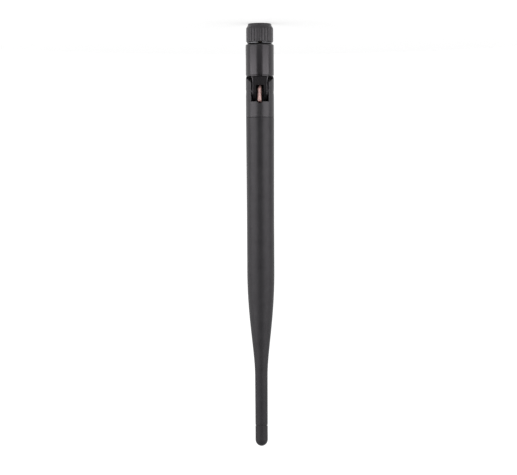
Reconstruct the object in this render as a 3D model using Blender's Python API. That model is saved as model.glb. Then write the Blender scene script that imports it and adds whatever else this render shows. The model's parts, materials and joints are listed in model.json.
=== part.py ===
"""A folding 2.4 GHz whip antenna with a reverse-polarity SMA plug.

The plug's front edge is at z = 0 and the whip stands up along +Z, on the Z axis.
The whip folds at a fork and tongue towards -Y, and the housing turns on the plug.
"""

import math

import bmesh
import bpy
from mathutils import Matrix, Vector

MM = 0.001

# How finely round things are drawn
ROUND_STEPS = 40
MIDDLE_ROUND_STEPS = 32
SMALL_ROUND_STEPS = 20
WIRE_ROUND_STEPS = 12
CORNER_STEPS = 3
SHARP_ANGLE = math.radians(35)

# Clearances
SEAT_GAP = 0.05 * MM
TURN_GAP = 0.1 * MM
HINGE_GAP = 0.2 * MM
SEAM_GAP = 0.1 * MM

# How far a cutter runs past what it cuts
CUT_OVERRUN = 0.6 * MM

# Grip: the ribbed sleeve round the coupling nut
GRIP_LENGTH = 8.62 * MM
GRIP_RADIUS = 6.24 * MM
GRIP_LIP_RADIUS = 5.5 * MM
GRIP_LIP_LENGTH = 1.1 * MM
GRIP_LIP_ROUNDING = 0.7 * MM
GRIP_SHOULDER = 1.5 * MM
GRIP_SHOULDER_EDGE_INSET = 0.27 * MM
GRIP_SHOULDER_EDGE_LENGTH = 0.8 * MM
GRIP_END_BEVEL = 0.45 * MM
RIB_COUNT = 24
RIB_DEPTH = 0.3 * MM
RIB_SHARE_ON_SHOULDER = 0.7
RIB_SHARE_ON_BEVEL = 0.2
STEPS_PER_RIB = 4

# Coupling nut, whose bore is the thread's pitch diameter
NUT_INSET = 0.4 * MM
NUT_RADIUS = 4.4 * MM
NUT_LENGTH = 7.95 * MM
THREAD_BORE_RADIUS = 3.0 * MM
THREAD_LENGTH = 5.0 * MM
THREAD_RELIEF = 0.25 * MM
NUT_BEVEL = 0.3 * MM

# Plug shell
SHELL_FACE_DEPTH = 2.9 * MM
TUBE_RADIUS = 2.3 * MM
TUBE_LENGTH = 2.7 * MM
NECK_RADIUS = 2.75 * MM
NECK_LENGTH = 3.3 * MM
BARREL_RADIUS = 3.2 * MM
BARREL_LENGTH = 8.1 * MM
CRIMP_NECK_RADIUS = 1.5 * MM
CRIMP_NECK_LENGTH = 3.0 * MM
DIELECTRIC_BORE_RADIUS = 2.05 * MM
SHELL_END_WALL = 4.0 * MM
SHELL_BEVEL = 0.15 * MM

# Split ring that keeps the nut on the shell, and the soft ring at the thread's end
RING_GROOVE_FROM_SHOULDER = 1.4 * MM
RING_THICKNESS = 0.45 * MM
RING_DEPTH = 0.35 * MM
RING_REACH = 0.3 * MM
RING_SPLIT_ANGLE = math.radians(24)
GASKET_THICKNESS = 0.5 * MM
GASKET_WIDTH = 0.6 * MM

# Insulator and centre contact
CONTACT_RADIUS = 0.62 * MM
CONTACT_BORE_RADIUS = 0.47 * MM
CONTACT_BORE_DEPTH = 2.6 * MM
CONTACT_SLOT_WIDTH = 0.15 * MM
CONTACT_SLOT_DEPTH = 2.2 * MM
CONTACT_INSET = 0.15 * MM

# Ferrule over the crimp neck and the cable's end
FERRULE_WALL = 0.5 * MM
FERRULE_BRAID_ROOM = 0.12 * MM
FERRULE_OVER_CABLE = 1.8 * MM

# Spring washer between the grip and the housing
WASHER_INNER_RADIUS = 3.45 * MM
WASHER_OUTER_RADIUS = 5.9 * MM
WASHER_THICKNESS = 0.38 * MM
WASHER_SPLIT_ANGLE = math.radians(18)
WASHER_SPLIT_PLACE = math.radians(-92)
WASHER_END_RISE = 0.1 * MM
WASHER_RISE_ANGLE = math.radians(22)
WASHER_SPRING_GAP = 0.15 * MM
WASHER_STEPS = 40

# Swivel housing with its narrower foot on the washer, its collar and tongue
HOUSING_RADIUS = 6.53 * MM
HOUSING_LENGTH = 14.85 * MM
HOUSING_FOOT_RADIUS = 5.45 * MM
HOUSING_FOOT_FLARE = 0.33 * MM
HOUSING_FOOT_LENGTH = 0.33 * MM
HOUSING_LOW_ROUNDING = 0.7 * MM
HOUSING_TOP_ROUNDING = 0.35 * MM
COLLAR_RADIUS = 6.1 * MM
COLLAR_LENGTH = 0.35 * MM
COLLAR_REAR_REBATE = 0.25 * MM
TONGUE_HALF_WIDTH = 3.55 * MM
TONGUE_END_RADIUS = 4.4 * MM
TONGUE_EDGE_ROUNDING = 0.45 * MM
TONGUE_SINK = 0.6 * MM
TONGUE_SLOT_HALF_WIDTH = 1.8 * MM
TONGUE_SLOT_BACK = 2.0 * MM
TONGUE_BRIDGE = 4.1 * MM
HOUSING_CABLE_BORE_RADIUS = 1.15 * MM

# Split clip that keeps the housing on the shell's barrel
CLIP_FROM_BARREL_START = 4.7 * MM
CLIP_THICKNESS = 0.6 * MM
CLIP_DEPTH = 0.45 * MM
CLIP_REACH = 0.5 * MM
CLIP_SPLIT_ANGLE = math.radians(40)

# Fork at the foot of the whip
FORK_RADIUS = 6.5 * MM
FORK_SIDE_GAP = 0.45 * MM
FORK_END_GAP = 0.7 * MM
FORK_REAR_START = 1.5 * MM
FORK_FLOOR_THICKNESS = 7.1 * MM
FORK_CABLE_BORE_RADIUS = 1.3 * MM
NOTCH_RADIUS = 1.3 * MM
NOTCH_DEPTH = 0.8 * MM
SPIGOT_LENGTH = 6.0 * MM
SPIGOT_WALL = 1.4 * MM
SEAM_BEVEL = 0.12 * MM

# Hinge pins
PIN_RADIUS = 1.2 * MM
PIN_RECESS = 0.3 * MM
PIN_BEVEL = 0.15 * MM

# Radome: the whip's cover
RADOME_WALL = 1.25 * MM
RADOME_SLIM_RADIUS = 6.28 * MM
RADOME_DRAFT_LENGTH = 44.45 * MM
RADOME_STRAIGHT_LENGTH = 26.0 * MM
TAPER_LENGTH = 49.0 * MM
TAPER_START_PULL = 22.5 * MM
TAPER_END_PULL = 12.0 * MM
TAPER_STEPS = 12
ROD_START_RADIUS = 2.9 * MM
ROD_END_RADIUS = 2.83 * MM
ROD_LENGTH = 22.35 * MM
ROD_END_BEVEL = 0.1 * MM

# Tip cap
TIP_GROOVE_WIDTH = 0.3 * MM
TIP_GROOVE_DEPTH = 0.28 * MM
TIP_STRAIGHT_LENGTH = 6.3 * MM
TIP_DOME_LENGTH = 3.1 * MM
TIP_DOME_STEPS = 7
TIP_SPIGOT_LENGTH = 5.0 * MM

# Cable
CABLE_RADIUS = 0.9 * MM
CABLE_BOW = 0.65 * MM
CABLE_BRAID_RADIUS = 0.7 * MM
CABLE_DIELECTRIC_RADIUS = 0.43 * MM
CABLE_BOW_STEPS = 12
CABLE_POINT_SPACING = 4.5 * MM
BRAID_STEP = 1.7 * MM
DIELECTRIC_STEP = 2.2 * MM

# Dipole sleeve, the bush in it and the shrink tube over the feed
SLEEVE_WALL = 0.3 * MM
SLEEVE_LENGTH = 27.0 * MM
SLEEVE_END_WALL = 0.5 * MM
SLEEVE_SPACER_LENGTH = 3.0 * MM
SLEEVE_SPACER_INSET = 0.4 * MM
SHRINK_WALL = 0.3 * MM
SHRINK_LENGTH = 4.6 * MM

# Radiator wire and its coil
WIRE_RADIUS = 0.5 * MM
LOWER_WIRE_LENGTH = 37.0 * MM
COIL_RADIUS = 2.4 * MM
COIL_TURNS = 5
COIL_PITCH = 2.0 * MM
COIL_STEPS_PER_TURN = 13
COIL_EASE_TURNS = 0.75
WIRE_POINT_SPACING = 9.0 * MM

# Foam plug round the lower wire
FOAM_ABOVE_FEED = 15.0 * MM
FOAM_LENGTH = 8.0 * MM

# Levels along the axis, worked out from the sizes above
NUT_START = NUT_INSET
SHELL_START = SHELL_FACE_DEPTH
SHELL_SHOULDER = SHELL_START + TUBE_LENGTH
BARREL_START = SHELL_SHOULDER + NECK_LENGTH
BARREL_END = BARREL_START + BARREL_LENGTH
CRIMP_NECK_END = BARREL_END + CRIMP_NECK_LENGTH
RING_START = SHELL_SHOULDER + RING_GROOVE_FROM_SHOULDER
CLIP_START = BARREL_START + CLIP_FROM_BARREL_START
INSULATOR_START = SHELL_START + SEAT_GAP
INSULATOR_END = BARREL_END - SHELL_END_WALL
FERRULE_START = BARREL_END + TURN_GAP
FERRULE_END = CRIMP_NECK_END + FERRULE_OVER_CABLE
WASHER_START = GRIP_LENGTH + TURN_GAP
HOUSING_START = WASHER_START + WASHER_THICKNESS + WASHER_SPRING_GAP
HOUSING_END = HOUSING_START + HOUSING_LENGTH
COLLAR_END = HOUSING_END + COLLAR_LENGTH
HINGE_LEVEL = COLLAR_END + FORK_END_GAP + FORK_RADIUS
FLOOR_LEVEL = HINGE_LEVEL + TONGUE_END_RADIUS + HINGE_GAP
SEAM_LEVEL = FLOOR_LEVEL + FORK_FLOOR_THICKNESS
SPIGOT_END = SEAM_LEVEL + SPIGOT_LENGTH
RADOME_START = SEAM_LEVEL + SEAM_GAP
TAPER_START = RADOME_START + RADOME_DRAFT_LENGTH + RADOME_STRAIGHT_LENGTH
TAPER_END = TAPER_START + TAPER_LENGTH
RADOME_END = TAPER_END + ROD_LENGTH
CABLE_START = CRIMP_NECK_END + SEAT_GAP
SLEEVE_START = SEAM_LEVEL + SPIGOT_WALL + SEAT_GAP
SLEEVE_END = SLEEVE_START + SLEEVE_LENGTH
CABLE_END = SLEEVE_END - BRAID_STEP
BRAID_END = SLEEVE_END + 2 * TURN_GAP
DIELECTRIC_END = BRAID_END + DIELECTRIC_STEP
WIRE_START = DIELECTRIC_END + SEAT_GAP
COIL_START = WIRE_START + LOWER_WIRE_LENGTH
TIP_START = RADOME_END + SEAT_GAP
WIRE_END = TIP_START - SEAT_GAP

# Radii that follow from the pieces they fit
FORK_SLOT_HALF_WIDTH = TONGUE_HALF_WIDTH + FORK_SIDE_GAP
FORK_WALL_INSIDE = TONGUE_END_RADIUS + HINGE_GAP
RADOME_BORE_RADIUS = FORK_RADIUS - RADOME_WALL
SPIGOT_RADIUS = RADOME_BORE_RADIUS - SEAT_GAP
SLEEVE_SOCKET_RADIUS = SPIGOT_RADIUS - SPIGOT_WALL
SLEEVE_RADIUS = SLEEVE_SOCKET_RADIUS - SEAT_GAP
ROD_BORE_RADIUS = ROD_END_RADIUS - RADOME_WALL


def remove_startup_objects():
    for obj in list(bpy.data.objects):
        bpy.data.objects.remove(obj, do_unlink=True)


def make_material(name, colour, roughness, metallic=0.0):
    material = bpy.data.materials.new(name)
    material.use_nodes = True
    shader = material.node_tree.nodes["Principled BSDF"]
    shader.inputs["Base Color"].default_value = (*colour, 1.0)
    shader.inputs["Roughness"].default_value = roughness
    shader.inputs["Metallic"].default_value = metallic
    return material


def make_axis(name, level):
    """An empty on the Z axis, which carries what turns about it."""
    axis = bpy.data.objects.new(name, None)
    axis.location = (0, 0, level)
    axis.empty_display_size = 5 * MM
    bpy.context.collection.objects.link(axis)
    return axis


def place(name, data, level, carrier, material):
    """A named object whose own zero is at this level on the Z axis."""
    obj = bpy.data.objects.new(name, data)
    obj.parent = carrier
    obj.location = (0, 0, level - carrier.location.z)
    obj.data.materials.append(material)
    bpy.context.collection.objects.link(obj)
    return obj


def mesh_from(name, shape):
    """Turns a bmesh into a smooth-shaded mesh with its faces pointing out."""
    bmesh.ops.recalc_face_normals(shape, faces=shape.faces)
    mesh = bpy.data.meshes.new(name)
    shape.to_mesh(mesh)
    shape.free()
    mesh.shade_smooth()
    mesh.set_sharp_from_angle(angle=SHARP_ANGLE)
    return mesh


def rounded(corners):
    """The outline with each (radius, level, rounding) corner replaced by an arc."""
    outline = []
    count = len(corners)
    for index, corner in enumerate(corners):
        here = Vector(corner[:2])
        rounding = corner[2] if len(corner) > 2 else 0
        if not rounding:
            outline.append(here)
            continue
        back = (Vector(corners[index - 1][:2]) - here).normalized()
        ahead = (Vector(corners[(index + 1) % count][:2]) - here).normalized()
        half_angle = back.angle(ahead) / 2
        centre = here + (back + ahead).normalized() * (rounding / math.sin(half_angle))
        start = here + back * (rounding / math.tan(half_angle)) - centre
        end = here + ahead * (rounding / math.tan(half_angle)) - centre
        for step in range(CORNER_STEPS + 1):
            share = step / CORNER_STEPS
            direction = start.lerp(end, share).normalized()
            outline.append(centre + direction * rounding)
    return outline


def turned(name, corners, steps=ROUND_STEPS):
    """A mesh turned about Z from corners of (radius, level) or (radius, level, rounding)."""
    shape = bmesh.new()
    points = [shape.verts.new((point.x, 0, point.y)) for point in rounded(corners)]
    for first, second in zip(points, points[1:]):
        shape.edges.new((first, second))
    on_axis = points[0].co.x == 0 and points[-1].co.x == 0
    if not on_axis:
        shape.edges.new((points[-1], points[0]))
    bmesh.ops.spin(
        shape,
        geom=shape.verts[:] + shape.edges[:],
        cent=(0, 0, 0),
        axis=(0, 0, 1),
        angle=2 * math.pi,
        steps=steps,
        use_merge=True,
    )
    bmesh.ops.remove_doubles(shape, verts=shape.verts, dist=0.0005 * MM)
    return mesh_from(name, shape)


def box_mesh(name, low, high):
    shape = bmesh.new()
    size = Vector(high) - Vector(low)
    middle = (Vector(high) + Vector(low)) / 2
    bmesh.ops.create_cube(shape, size=1, matrix=Matrix.Translation(middle) @ Matrix.Diagonal((*size, 1)))
    return mesh_from(name, shape)


def rod_mesh(name, radius, start, end, bevel=0, steps=SMALL_ROUND_STEPS):
    """A round bar between two points, with bevelled ends."""
    run = Vector(end) - Vector(start)
    turn = run.to_track_quat("Z", "Y").to_matrix().to_4x4()
    corners = [(0, 0), (radius, 0), (radius, run.length), (0, run.length)]
    if bevel:
        corners = [
            (0, 0),
            (radius - bevel, 0),
            (radius, bevel),
            (radius, run.length - bevel),
            (radius - bevel, run.length),
            (0, run.length),
        ]
    mesh = turned(name, corners, steps)
    mesh.transform(Matrix.Translation(start) @ turn)
    return mesh


def extruded_along_x(name, outline, half_width, edge_rounding=0):
    """A prism from an outline of (y, z), with the edges of its two ends rounded."""
    shape = bmesh.new()
    face = shape.faces.new([shape.verts.new((-half_width, y, z)) for y, z in outline])
    rim = bmesh.ops.extrude_face_region(shape, geom=[face])
    moved = [item for item in rim["geom"] if isinstance(item, bmesh.types.BMVert)]
    bmesh.ops.translate(shape, verts=moved, vec=(2 * half_width, 0, 0))
    if edge_rounding:
        ends = [edge for edge in shape.edges if abs(edge.verts[0].co.x - edge.verts[1].co.x) < 0.001 * MM]
        bmesh.ops.bevel(shape, geom=ends, offset=edge_rounding, segments=CORNER_STEPS, affect="EDGES")
    return mesh_from(name, shape)


def split_ring(name, inner_radius, outer_radius, thickness, split_angle, split_place, steps, rise=None):
    """A flat ring with a gap in it. rise gives a lift for each angle measured from the gap's end."""
    shape = bmesh.new()
    sections = []
    sweep = 2 * math.pi - split_angle
    for step in range(steps + 1):
        turn = sweep * step / steps
        angle = split_place + split_angle / 2 + turn
        lift = rise(turn) if rise else 0
        corners = []
        for radius, level in (
            (inner_radius, 0),
            (outer_radius, 0),
            (outer_radius, thickness),
            (inner_radius, thickness),
        ):
            place_of_corner = (radius * math.cos(angle), radius * math.sin(angle), level + lift)
            corners.append(shape.verts.new(place_of_corner))
        sections.append(corners)
    for first, second in zip(sections, sections[1:]):
        for side in range(4):
            following = (side + 1) % 4
            shape.faces.new((first[side], first[following], second[following], second[side]))
    shape.faces.new(sections[0])
    shape.faces.new(sections[-1])
    return mesh_from(name, shape)


def helper(name, mesh, target):
    """A hidden shape in the target's own coordinates, for a Boolean."""
    obj = bpy.data.objects.new(name, mesh)
    obj.parent = target
    obj.hide_render = True
    obj.display_type = "WIRE"
    bpy.context.collection.objects.link(obj)
    return obj


def combine(target, operation, name, mesh, solver="EXACT"):
    modifier = target.modifiers.new(name, "BOOLEAN")
    modifier.operation = operation
    modifier.solver = solver
    modifier.object = helper(name, mesh, target)


def curve_data(name, points, radius, bevel_resolution=2):
    """A round wire or cable through the points."""
    curve = bpy.data.curves.new(name, "CURVE")
    curve.dimensions = "3D"
    curve.bevel_depth = radius
    curve.bevel_resolution = bevel_resolution
    curve.use_fill_caps = True
    spline = curve.splines.new("POLY")
    spline.points.add(len(points) - 1)
    for point, place_of_point in zip(spline.points, points):
        point.co = (*place_of_point, 1)
    return curve


def smooth_step(share):
    """Rises from 0 to 1 with no slope at either end."""
    share = min(max(share, 0), 1)
    return share * share * (3 - 2 * share)


def build_nut_grip(carrier, material):
    """A plain lip, a shoulder, then rounded ribs with bevelled ends."""
    bore = NUT_RADIUS + SEAT_GAP
    shoulder_end = GRIP_LIP_LENGTH + GRIP_SHOULDER
    lip_edge = GRIP_LIP_RADIUS - GRIP_LIP_ROUNDING
    # Each section: radius of the ribs' crests, level, and the share of the ribs' depth that shows
    sections = [(bore, 0, 0), (lip_edge, 0, 0)]
    for step in range(1, CORNER_STEPS + 1):
        angle = math.pi / 2 * step / CORNER_STEPS
        radius = lip_edge + GRIP_LIP_ROUNDING * math.sin(angle)
        sections.append((radius, GRIP_LIP_ROUNDING * (1 - math.cos(angle)), 0))
    sections += [
        (GRIP_LIP_RADIUS, GRIP_LIP_LENGTH, 0),
        (
            GRIP_RADIUS - GRIP_SHOULDER_EDGE_INSET,
            shoulder_end - GRIP_SHOULDER_EDGE_LENGTH,
            RIB_SHARE_ON_SHOULDER,
        ),
        (GRIP_RADIUS, shoulder_end, 1),
        (GRIP_RADIUS, GRIP_LENGTH - GRIP_END_BEVEL, 1),
        (GRIP_RADIUS - GRIP_END_BEVEL, GRIP_LENGTH, RIB_SHARE_ON_BEVEL),
        (bore, GRIP_LENGTH, 0),
    ]
    shape = bmesh.new()
    count = RIB_COUNT * STEPS_PER_RIB
    rings = []
    for radius, level, rib_share in sections:
        ring = []
        for step in range(count):
            angle = -math.pi / 2 + 2 * math.pi * step / count
            across = 2 * ((step / STEPS_PER_RIB + 0.5) % 1) - 1
            reach = radius - RIB_DEPTH * rib_share * across**4
            ring.append(shape.verts.new((reach * math.cos(angle), reach * math.sin(angle), level)))
        rings.append(ring)
    for low, high in zip(rings, rings[1:] + rings[:1]):
        for step in range(count):
            following = (step + 1) % count
            shape.faces.new((low[step], low[following], high[following], high[step]))
    return place("nut_grip", mesh_from("nut_grip", shape), 0, carrier, material)


def build_coupling_nut(carrier, material):
    relief_start = THREAD_LENGTH
    relief_end = SHELL_SHOULDER + TURN_GAP - NUT_START
    ring_low = RING_START - TURN_GAP - NUT_START
    ring_high = RING_START + RING_THICKNESS + TURN_GAP - NUT_START
    back_hole = NECK_RADIUS + TURN_GAP
    ring_groove = NECK_RADIUS + RING_REACH + 2 * TURN_GAP
    corners = [
        (THREAD_BORE_RADIUS + NUT_BEVEL, 0),
        (NUT_RADIUS - NUT_BEVEL, 0),
        (NUT_RADIUS, NUT_BEVEL),
        (NUT_RADIUS, NUT_LENGTH),
        (back_hole, NUT_LENGTH),
        (back_hole, ring_high),
        (ring_groove, ring_high),
        (ring_groove, ring_low),
        (back_hole, ring_low),
        (back_hole, relief_end),
        (THREAD_BORE_RADIUS + THREAD_RELIEF, relief_end),
        (THREAD_BORE_RADIUS + THREAD_RELIEF, relief_start),
        (THREAD_BORE_RADIUS, relief_start - THREAD_RELIEF),
        (THREAD_BORE_RADIUS, NUT_BEVEL),
    ]
    mesh = turned("coupling_nut", corners, MIDDLE_ROUND_STEPS)
    return place("coupling_nut", mesh, NUT_START, carrier, material)


def build_nut_snap_ring(carrier, material):
    mesh = split_ring(
        "nut_snap_ring",
        NECK_RADIUS - RING_DEPTH + TURN_GAP,
        NECK_RADIUS + RING_REACH,
        RING_THICKNESS,
        RING_SPLIT_ANGLE,
        math.pi / 2,
        SMALL_ROUND_STEPS,
    )
    return place("nut_snap_ring", mesh, RING_START, carrier, material)


def build_nut_gasket(carrier, material):
    inner = TUBE_RADIUS + SEAT_GAP
    corners = [
        (inner, 0),
        (inner + GASKET_WIDTH, 0),
        (inner + GASKET_WIDTH, GASKET_THICKNESS),
        (inner, GASKET_THICKNESS),
    ]
    level = SHELL_SHOULDER - SEAT_GAP - GASKET_THICKNESS
    mesh = turned("nut_gasket", corners, MIDDLE_ROUND_STEPS)
    return place("nut_gasket", mesh, level, carrier, material)


def build_connector_shell(carrier, material):
    """Mating tube, neck with the ring's groove, barrel with the clip's groove, crimp neck."""
    shoulder = TUBE_LENGTH
    neck_end = shoulder + NECK_LENGTH
    barrel_end = neck_end + BARREL_LENGTH
    ring_low = RING_START - TURN_GAP - SHELL_START
    ring_high = RING_START + RING_THICKNESS + TURN_GAP - SHELL_START
    clip_low = CLIP_START - TURN_GAP - SHELL_START
    clip_high = CLIP_START + CLIP_THICKNESS + TURN_GAP - SHELL_START
    ring_floor = NECK_RADIUS - RING_DEPTH
    clip_floor = BARREL_RADIUS - CLIP_DEPTH
    cable_bore = CABLE_DIELECTRIC_RADIUS + TURN_GAP
    bore_end = barrel_end - SHELL_END_WALL
    corners = [
        (DIELECTRIC_BORE_RADIUS, 0),
        (TUBE_RADIUS, 0),
        (TUBE_RADIUS, shoulder),
        (NECK_RADIUS - SHELL_BEVEL, shoulder),
        (NECK_RADIUS, shoulder + SHELL_BEVEL),
        (NECK_RADIUS, ring_low),
        (ring_floor, ring_low),
        (ring_floor, ring_high),
        (NECK_RADIUS, ring_high),
        (NECK_RADIUS, neck_end),
        (BARREL_RADIUS, neck_end),
        (BARREL_RADIUS, clip_low),
        (clip_floor, clip_low),
        (clip_floor, clip_high),
        (BARREL_RADIUS, clip_high),
        (BARREL_RADIUS, barrel_end - SHELL_BEVEL),
        (BARREL_RADIUS - SHELL_BEVEL, barrel_end),
        (CRIMP_NECK_RADIUS, barrel_end),
        (CRIMP_NECK_RADIUS, barrel_end + CRIMP_NECK_LENGTH),
        (cable_bore, barrel_end + CRIMP_NECK_LENGTH),
        (cable_bore, bore_end),
        (DIELECTRIC_BORE_RADIUS, bore_end),
    ]
    mesh = turned("connector_shell", corners, MIDDLE_ROUND_STEPS)
    return place("connector_shell", mesh, SHELL_START, carrier, material)


def build_insulator(carrier, material):
    outer = DIELECTRIC_BORE_RADIUS - SEAT_GAP
    inner = CONTACT_RADIUS + SEAT_GAP
    length = INSULATOR_END - SEAT_GAP - INSULATOR_START
    corners = [(inner, 0), (outer, 0), (outer, length), (inner, length)]
    mesh = turned("insulator", corners, SMALL_ROUND_STEPS)
    return place("insulator", mesh, INSULATOR_START, carrier, material)


def build_centre_contact(carrier, material):
    """The socket of a reverse-polarity plug, with four spring fingers."""
    start = INSULATOR_START + CONTACT_INSET
    length = INSULATOR_END - SEAT_GAP - start
    corners = [
        (0, CONTACT_BORE_DEPTH),
        (CONTACT_BORE_RADIUS, CONTACT_BORE_DEPTH),
        (CONTACT_BORE_RADIUS, 0),
        (CONTACT_RADIUS, 0),
        (CONTACT_RADIUS, length),
        (0, length),
    ]
    mesh = turned("centre_contact", corners, SMALL_ROUND_STEPS)
    contact = place("centre_contact", mesh, start, carrier, material)
    half = CONTACT_SLOT_WIDTH / 2
    reach = 2 * CONTACT_RADIUS
    for turn, name in ((0, "contact_slot_x"), (1, "contact_slot_y")):
        low = (-reach, -half, -CONTACT_SLOT_DEPTH) if turn == 0 else (-half, -reach, -CONTACT_SLOT_DEPTH)
        high = (reach, half, CONTACT_SLOT_DEPTH) if turn == 0 else (half, reach, CONTACT_SLOT_DEPTH)
        combine(contact, "DIFFERENCE", name, box_mesh(name, low, high))
    return contact


def build_crimp_ferrule(carrier, material):
    wide = CRIMP_NECK_RADIUS + FERRULE_BRAID_ROOM
    narrow = CABLE_RADIUS + TURN_GAP
    step = CABLE_START - FERRULE_START
    length = FERRULE_END - FERRULE_START
    corners = [
        (wide, 0),
        (wide + FERRULE_WALL, 0),
        (wide + FERRULE_WALL, step),
        (narrow + FERRULE_WALL, step + FERRULE_WALL),
        (narrow + FERRULE_WALL, length),
        (narrow, length),
        (narrow, step + FERRULE_WALL / 2),
        (wide, step),
    ]
    mesh = turned("crimp_ferrule", corners, SMALL_ROUND_STEPS)
    return place("crimp_ferrule", mesh, FERRULE_START, carrier, material)


def build_retaining_clip(carrier, material):
    mesh = split_ring(
        "retaining_clip",
        BARREL_RADIUS - CLIP_DEPTH + TURN_GAP,
        BARREL_RADIUS + CLIP_REACH,
        CLIP_THICKNESS,
        CLIP_SPLIT_ANGLE,
        math.pi / 2,
        SMALL_ROUND_STEPS,
    )
    return place("retaining_clip", mesh, CLIP_START, carrier, material)


def build_swivel_washer(carrier, material):
    """The end that meets the gap first stands off the ring towards the housing."""

    def rise(turn):
        return WASHER_END_RISE * smooth_step(1 - turn / WASHER_RISE_ANGLE)

    mesh = split_ring(
        "swivel_washer",
        WASHER_INNER_RADIUS,
        WASHER_OUTER_RADIUS,
        WASHER_THICKNESS,
        WASHER_SPLIT_ANGLE,
        WASHER_SPLIT_PLACE,
        WASHER_STEPS,
        rise,
    )
    return place("swivel_washer", mesh, WASHER_START, carrier, material)


def rounded_end_outline(radius, centre, straight_end):
    """(y, z) points of a bar with a half-round end at +Z."""
    outline = [(-radius, straight_end)]
    steps = SMALL_ROUND_STEPS
    for step in range(steps + 1):
        angle = math.pi * (1 - step / steps)
        outline.append((radius * math.cos(angle), centre + radius * math.sin(angle)))
    outline.append((radius, straight_end))
    return outline


def build_swivel_housing(carrier, material):
    """Foot, barrel and collar turned in one, with the tongue joined on.

    The stepped way for the ferrule and the cable is cut last, through the collar and the tongue.
    """
    bore = BARREL_RADIUS + TURN_GAP
    clip_groove = BARREL_RADIUS + CLIP_REACH + TURN_GAP
    clip_low = CLIP_START - 2 * TURN_GAP - HOUSING_START
    clip_high = CLIP_START + CLIP_THICKNESS + 2 * TURN_GAP - HOUSING_START
    bore_end = BARREL_END + TURN_GAP - HOUSING_START
    ferrule_bore = CRIMP_NECK_RADIUS + FERRULE_BRAID_ROOM + FERRULE_WALL + TURN_GAP
    ferrule_bore_end = FERRULE_END + TURN_GAP - HOUSING_START
    collar_end = COLLAR_END - HOUSING_START
    hinge = HINGE_LEVEL - HOUSING_START
    corners = [
        (0, bore_end),
        (bore, bore_end),
        (bore, clip_high),
        (clip_groove, clip_high),
        (clip_groove, clip_low),
        (bore, clip_low),
        (bore, 0),
        (HOUSING_FOOT_RADIUS, 0),
        (HOUSING_FOOT_RADIUS + HOUSING_FOOT_FLARE, HOUSING_FOOT_LENGTH),
        (HOUSING_RADIUS, HOUSING_FOOT_LENGTH, HOUSING_LOW_ROUNDING),
        (HOUSING_RADIUS, HOUSING_LENGTH, HOUSING_TOP_ROUNDING),
        (COLLAR_RADIUS, HOUSING_LENGTH),
        (COLLAR_RADIUS, collar_end),
        (0, collar_end),
    ]
    housing = place("swivel_housing", turned("swivel_housing", corners), HOUSING_START, carrier, material)
    rebate_low = (-2 * COLLAR_RADIUS, FORK_REAR_START - HINGE_GAP, collar_end - COLLAR_REAR_REBATE)
    rebate_high = (2 * COLLAR_RADIUS, 2 * COLLAR_RADIUS, collar_end + COLLAR_LENGTH)
    combine(housing, "DIFFERENCE", "collar_rebate", box_mesh("collar_rebate", rebate_low, rebate_high))
    tongue = extruded_along_x(
        "tongue",
        rounded_end_outline(TONGUE_END_RADIUS, hinge, collar_end - TONGUE_SINK),
        TONGUE_HALF_WIDTH,
        TONGUE_EDGE_ROUNDING,
    )
    combine(housing, "UNION", "tongue", tongue)
    slot_low = (-TONGUE_SLOT_HALF_WIDTH, -2 * TONGUE_END_RADIUS, collar_end + TONGUE_BRIDGE)
    slot_high = (TONGUE_SLOT_HALF_WIDTH, TONGUE_SLOT_BACK, hinge + 2 * TONGUE_END_RADIUS)
    combine(housing, "DIFFERENCE", "tongue_slot", box_mesh("tongue_slot", slot_low, slot_high))
    cable_bore_end = collar_end + TONGUE_BRIDGE + CUT_OVERRUN
    way = [
        (0, bore_end - CUT_OVERRUN),
        (ferrule_bore, bore_end - CUT_OVERRUN),
        (ferrule_bore, ferrule_bore_end),
        (HOUSING_CABLE_BORE_RADIUS, ferrule_bore_end),
        (HOUSING_CABLE_BORE_RADIUS, cable_bore_end),
        (0, cable_bore_end),
    ]
    cable_way = turned("cable_way", way, SMALL_ROUND_STEPS)
    combine(housing, "DIFFERENCE", "cable_way", cable_way, "MANIFOLD")
    reach = 2 * TONGUE_HALF_WIDTH
    pin_bore = rod_mesh("tongue_pin_bore", PIN_RADIUS + SEAT_GAP, (-reach, 0, hinge), (reach, 0, hinge))
    combine(housing, "DIFFERENCE", "tongue_pin_bore", pin_bore, "MANIFOLD")
    return housing


def fork_end_outline(hinge, rear_end, top):
    """(y, z) points of a tall slab, rounded about the hinge in front and square at the back."""
    wide = 2 * FORK_RADIUS
    first = math.pi
    last = 1.5 * math.pi + math.asin(FORK_REAR_START / FORK_RADIUS)
    steps = ROUND_STEPS // 2
    outline = [(FORK_REAR_START, rear_end), (wide, rear_end), (wide, top), (-wide, top), (-wide, hinge)]
    for step in range(steps + 1):
        angle = first + (last - first) * step / steps
        outline.append((FORK_RADIUS * math.cos(angle), hinge + FORK_RADIUS * math.sin(angle)))
    return outline


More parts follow.
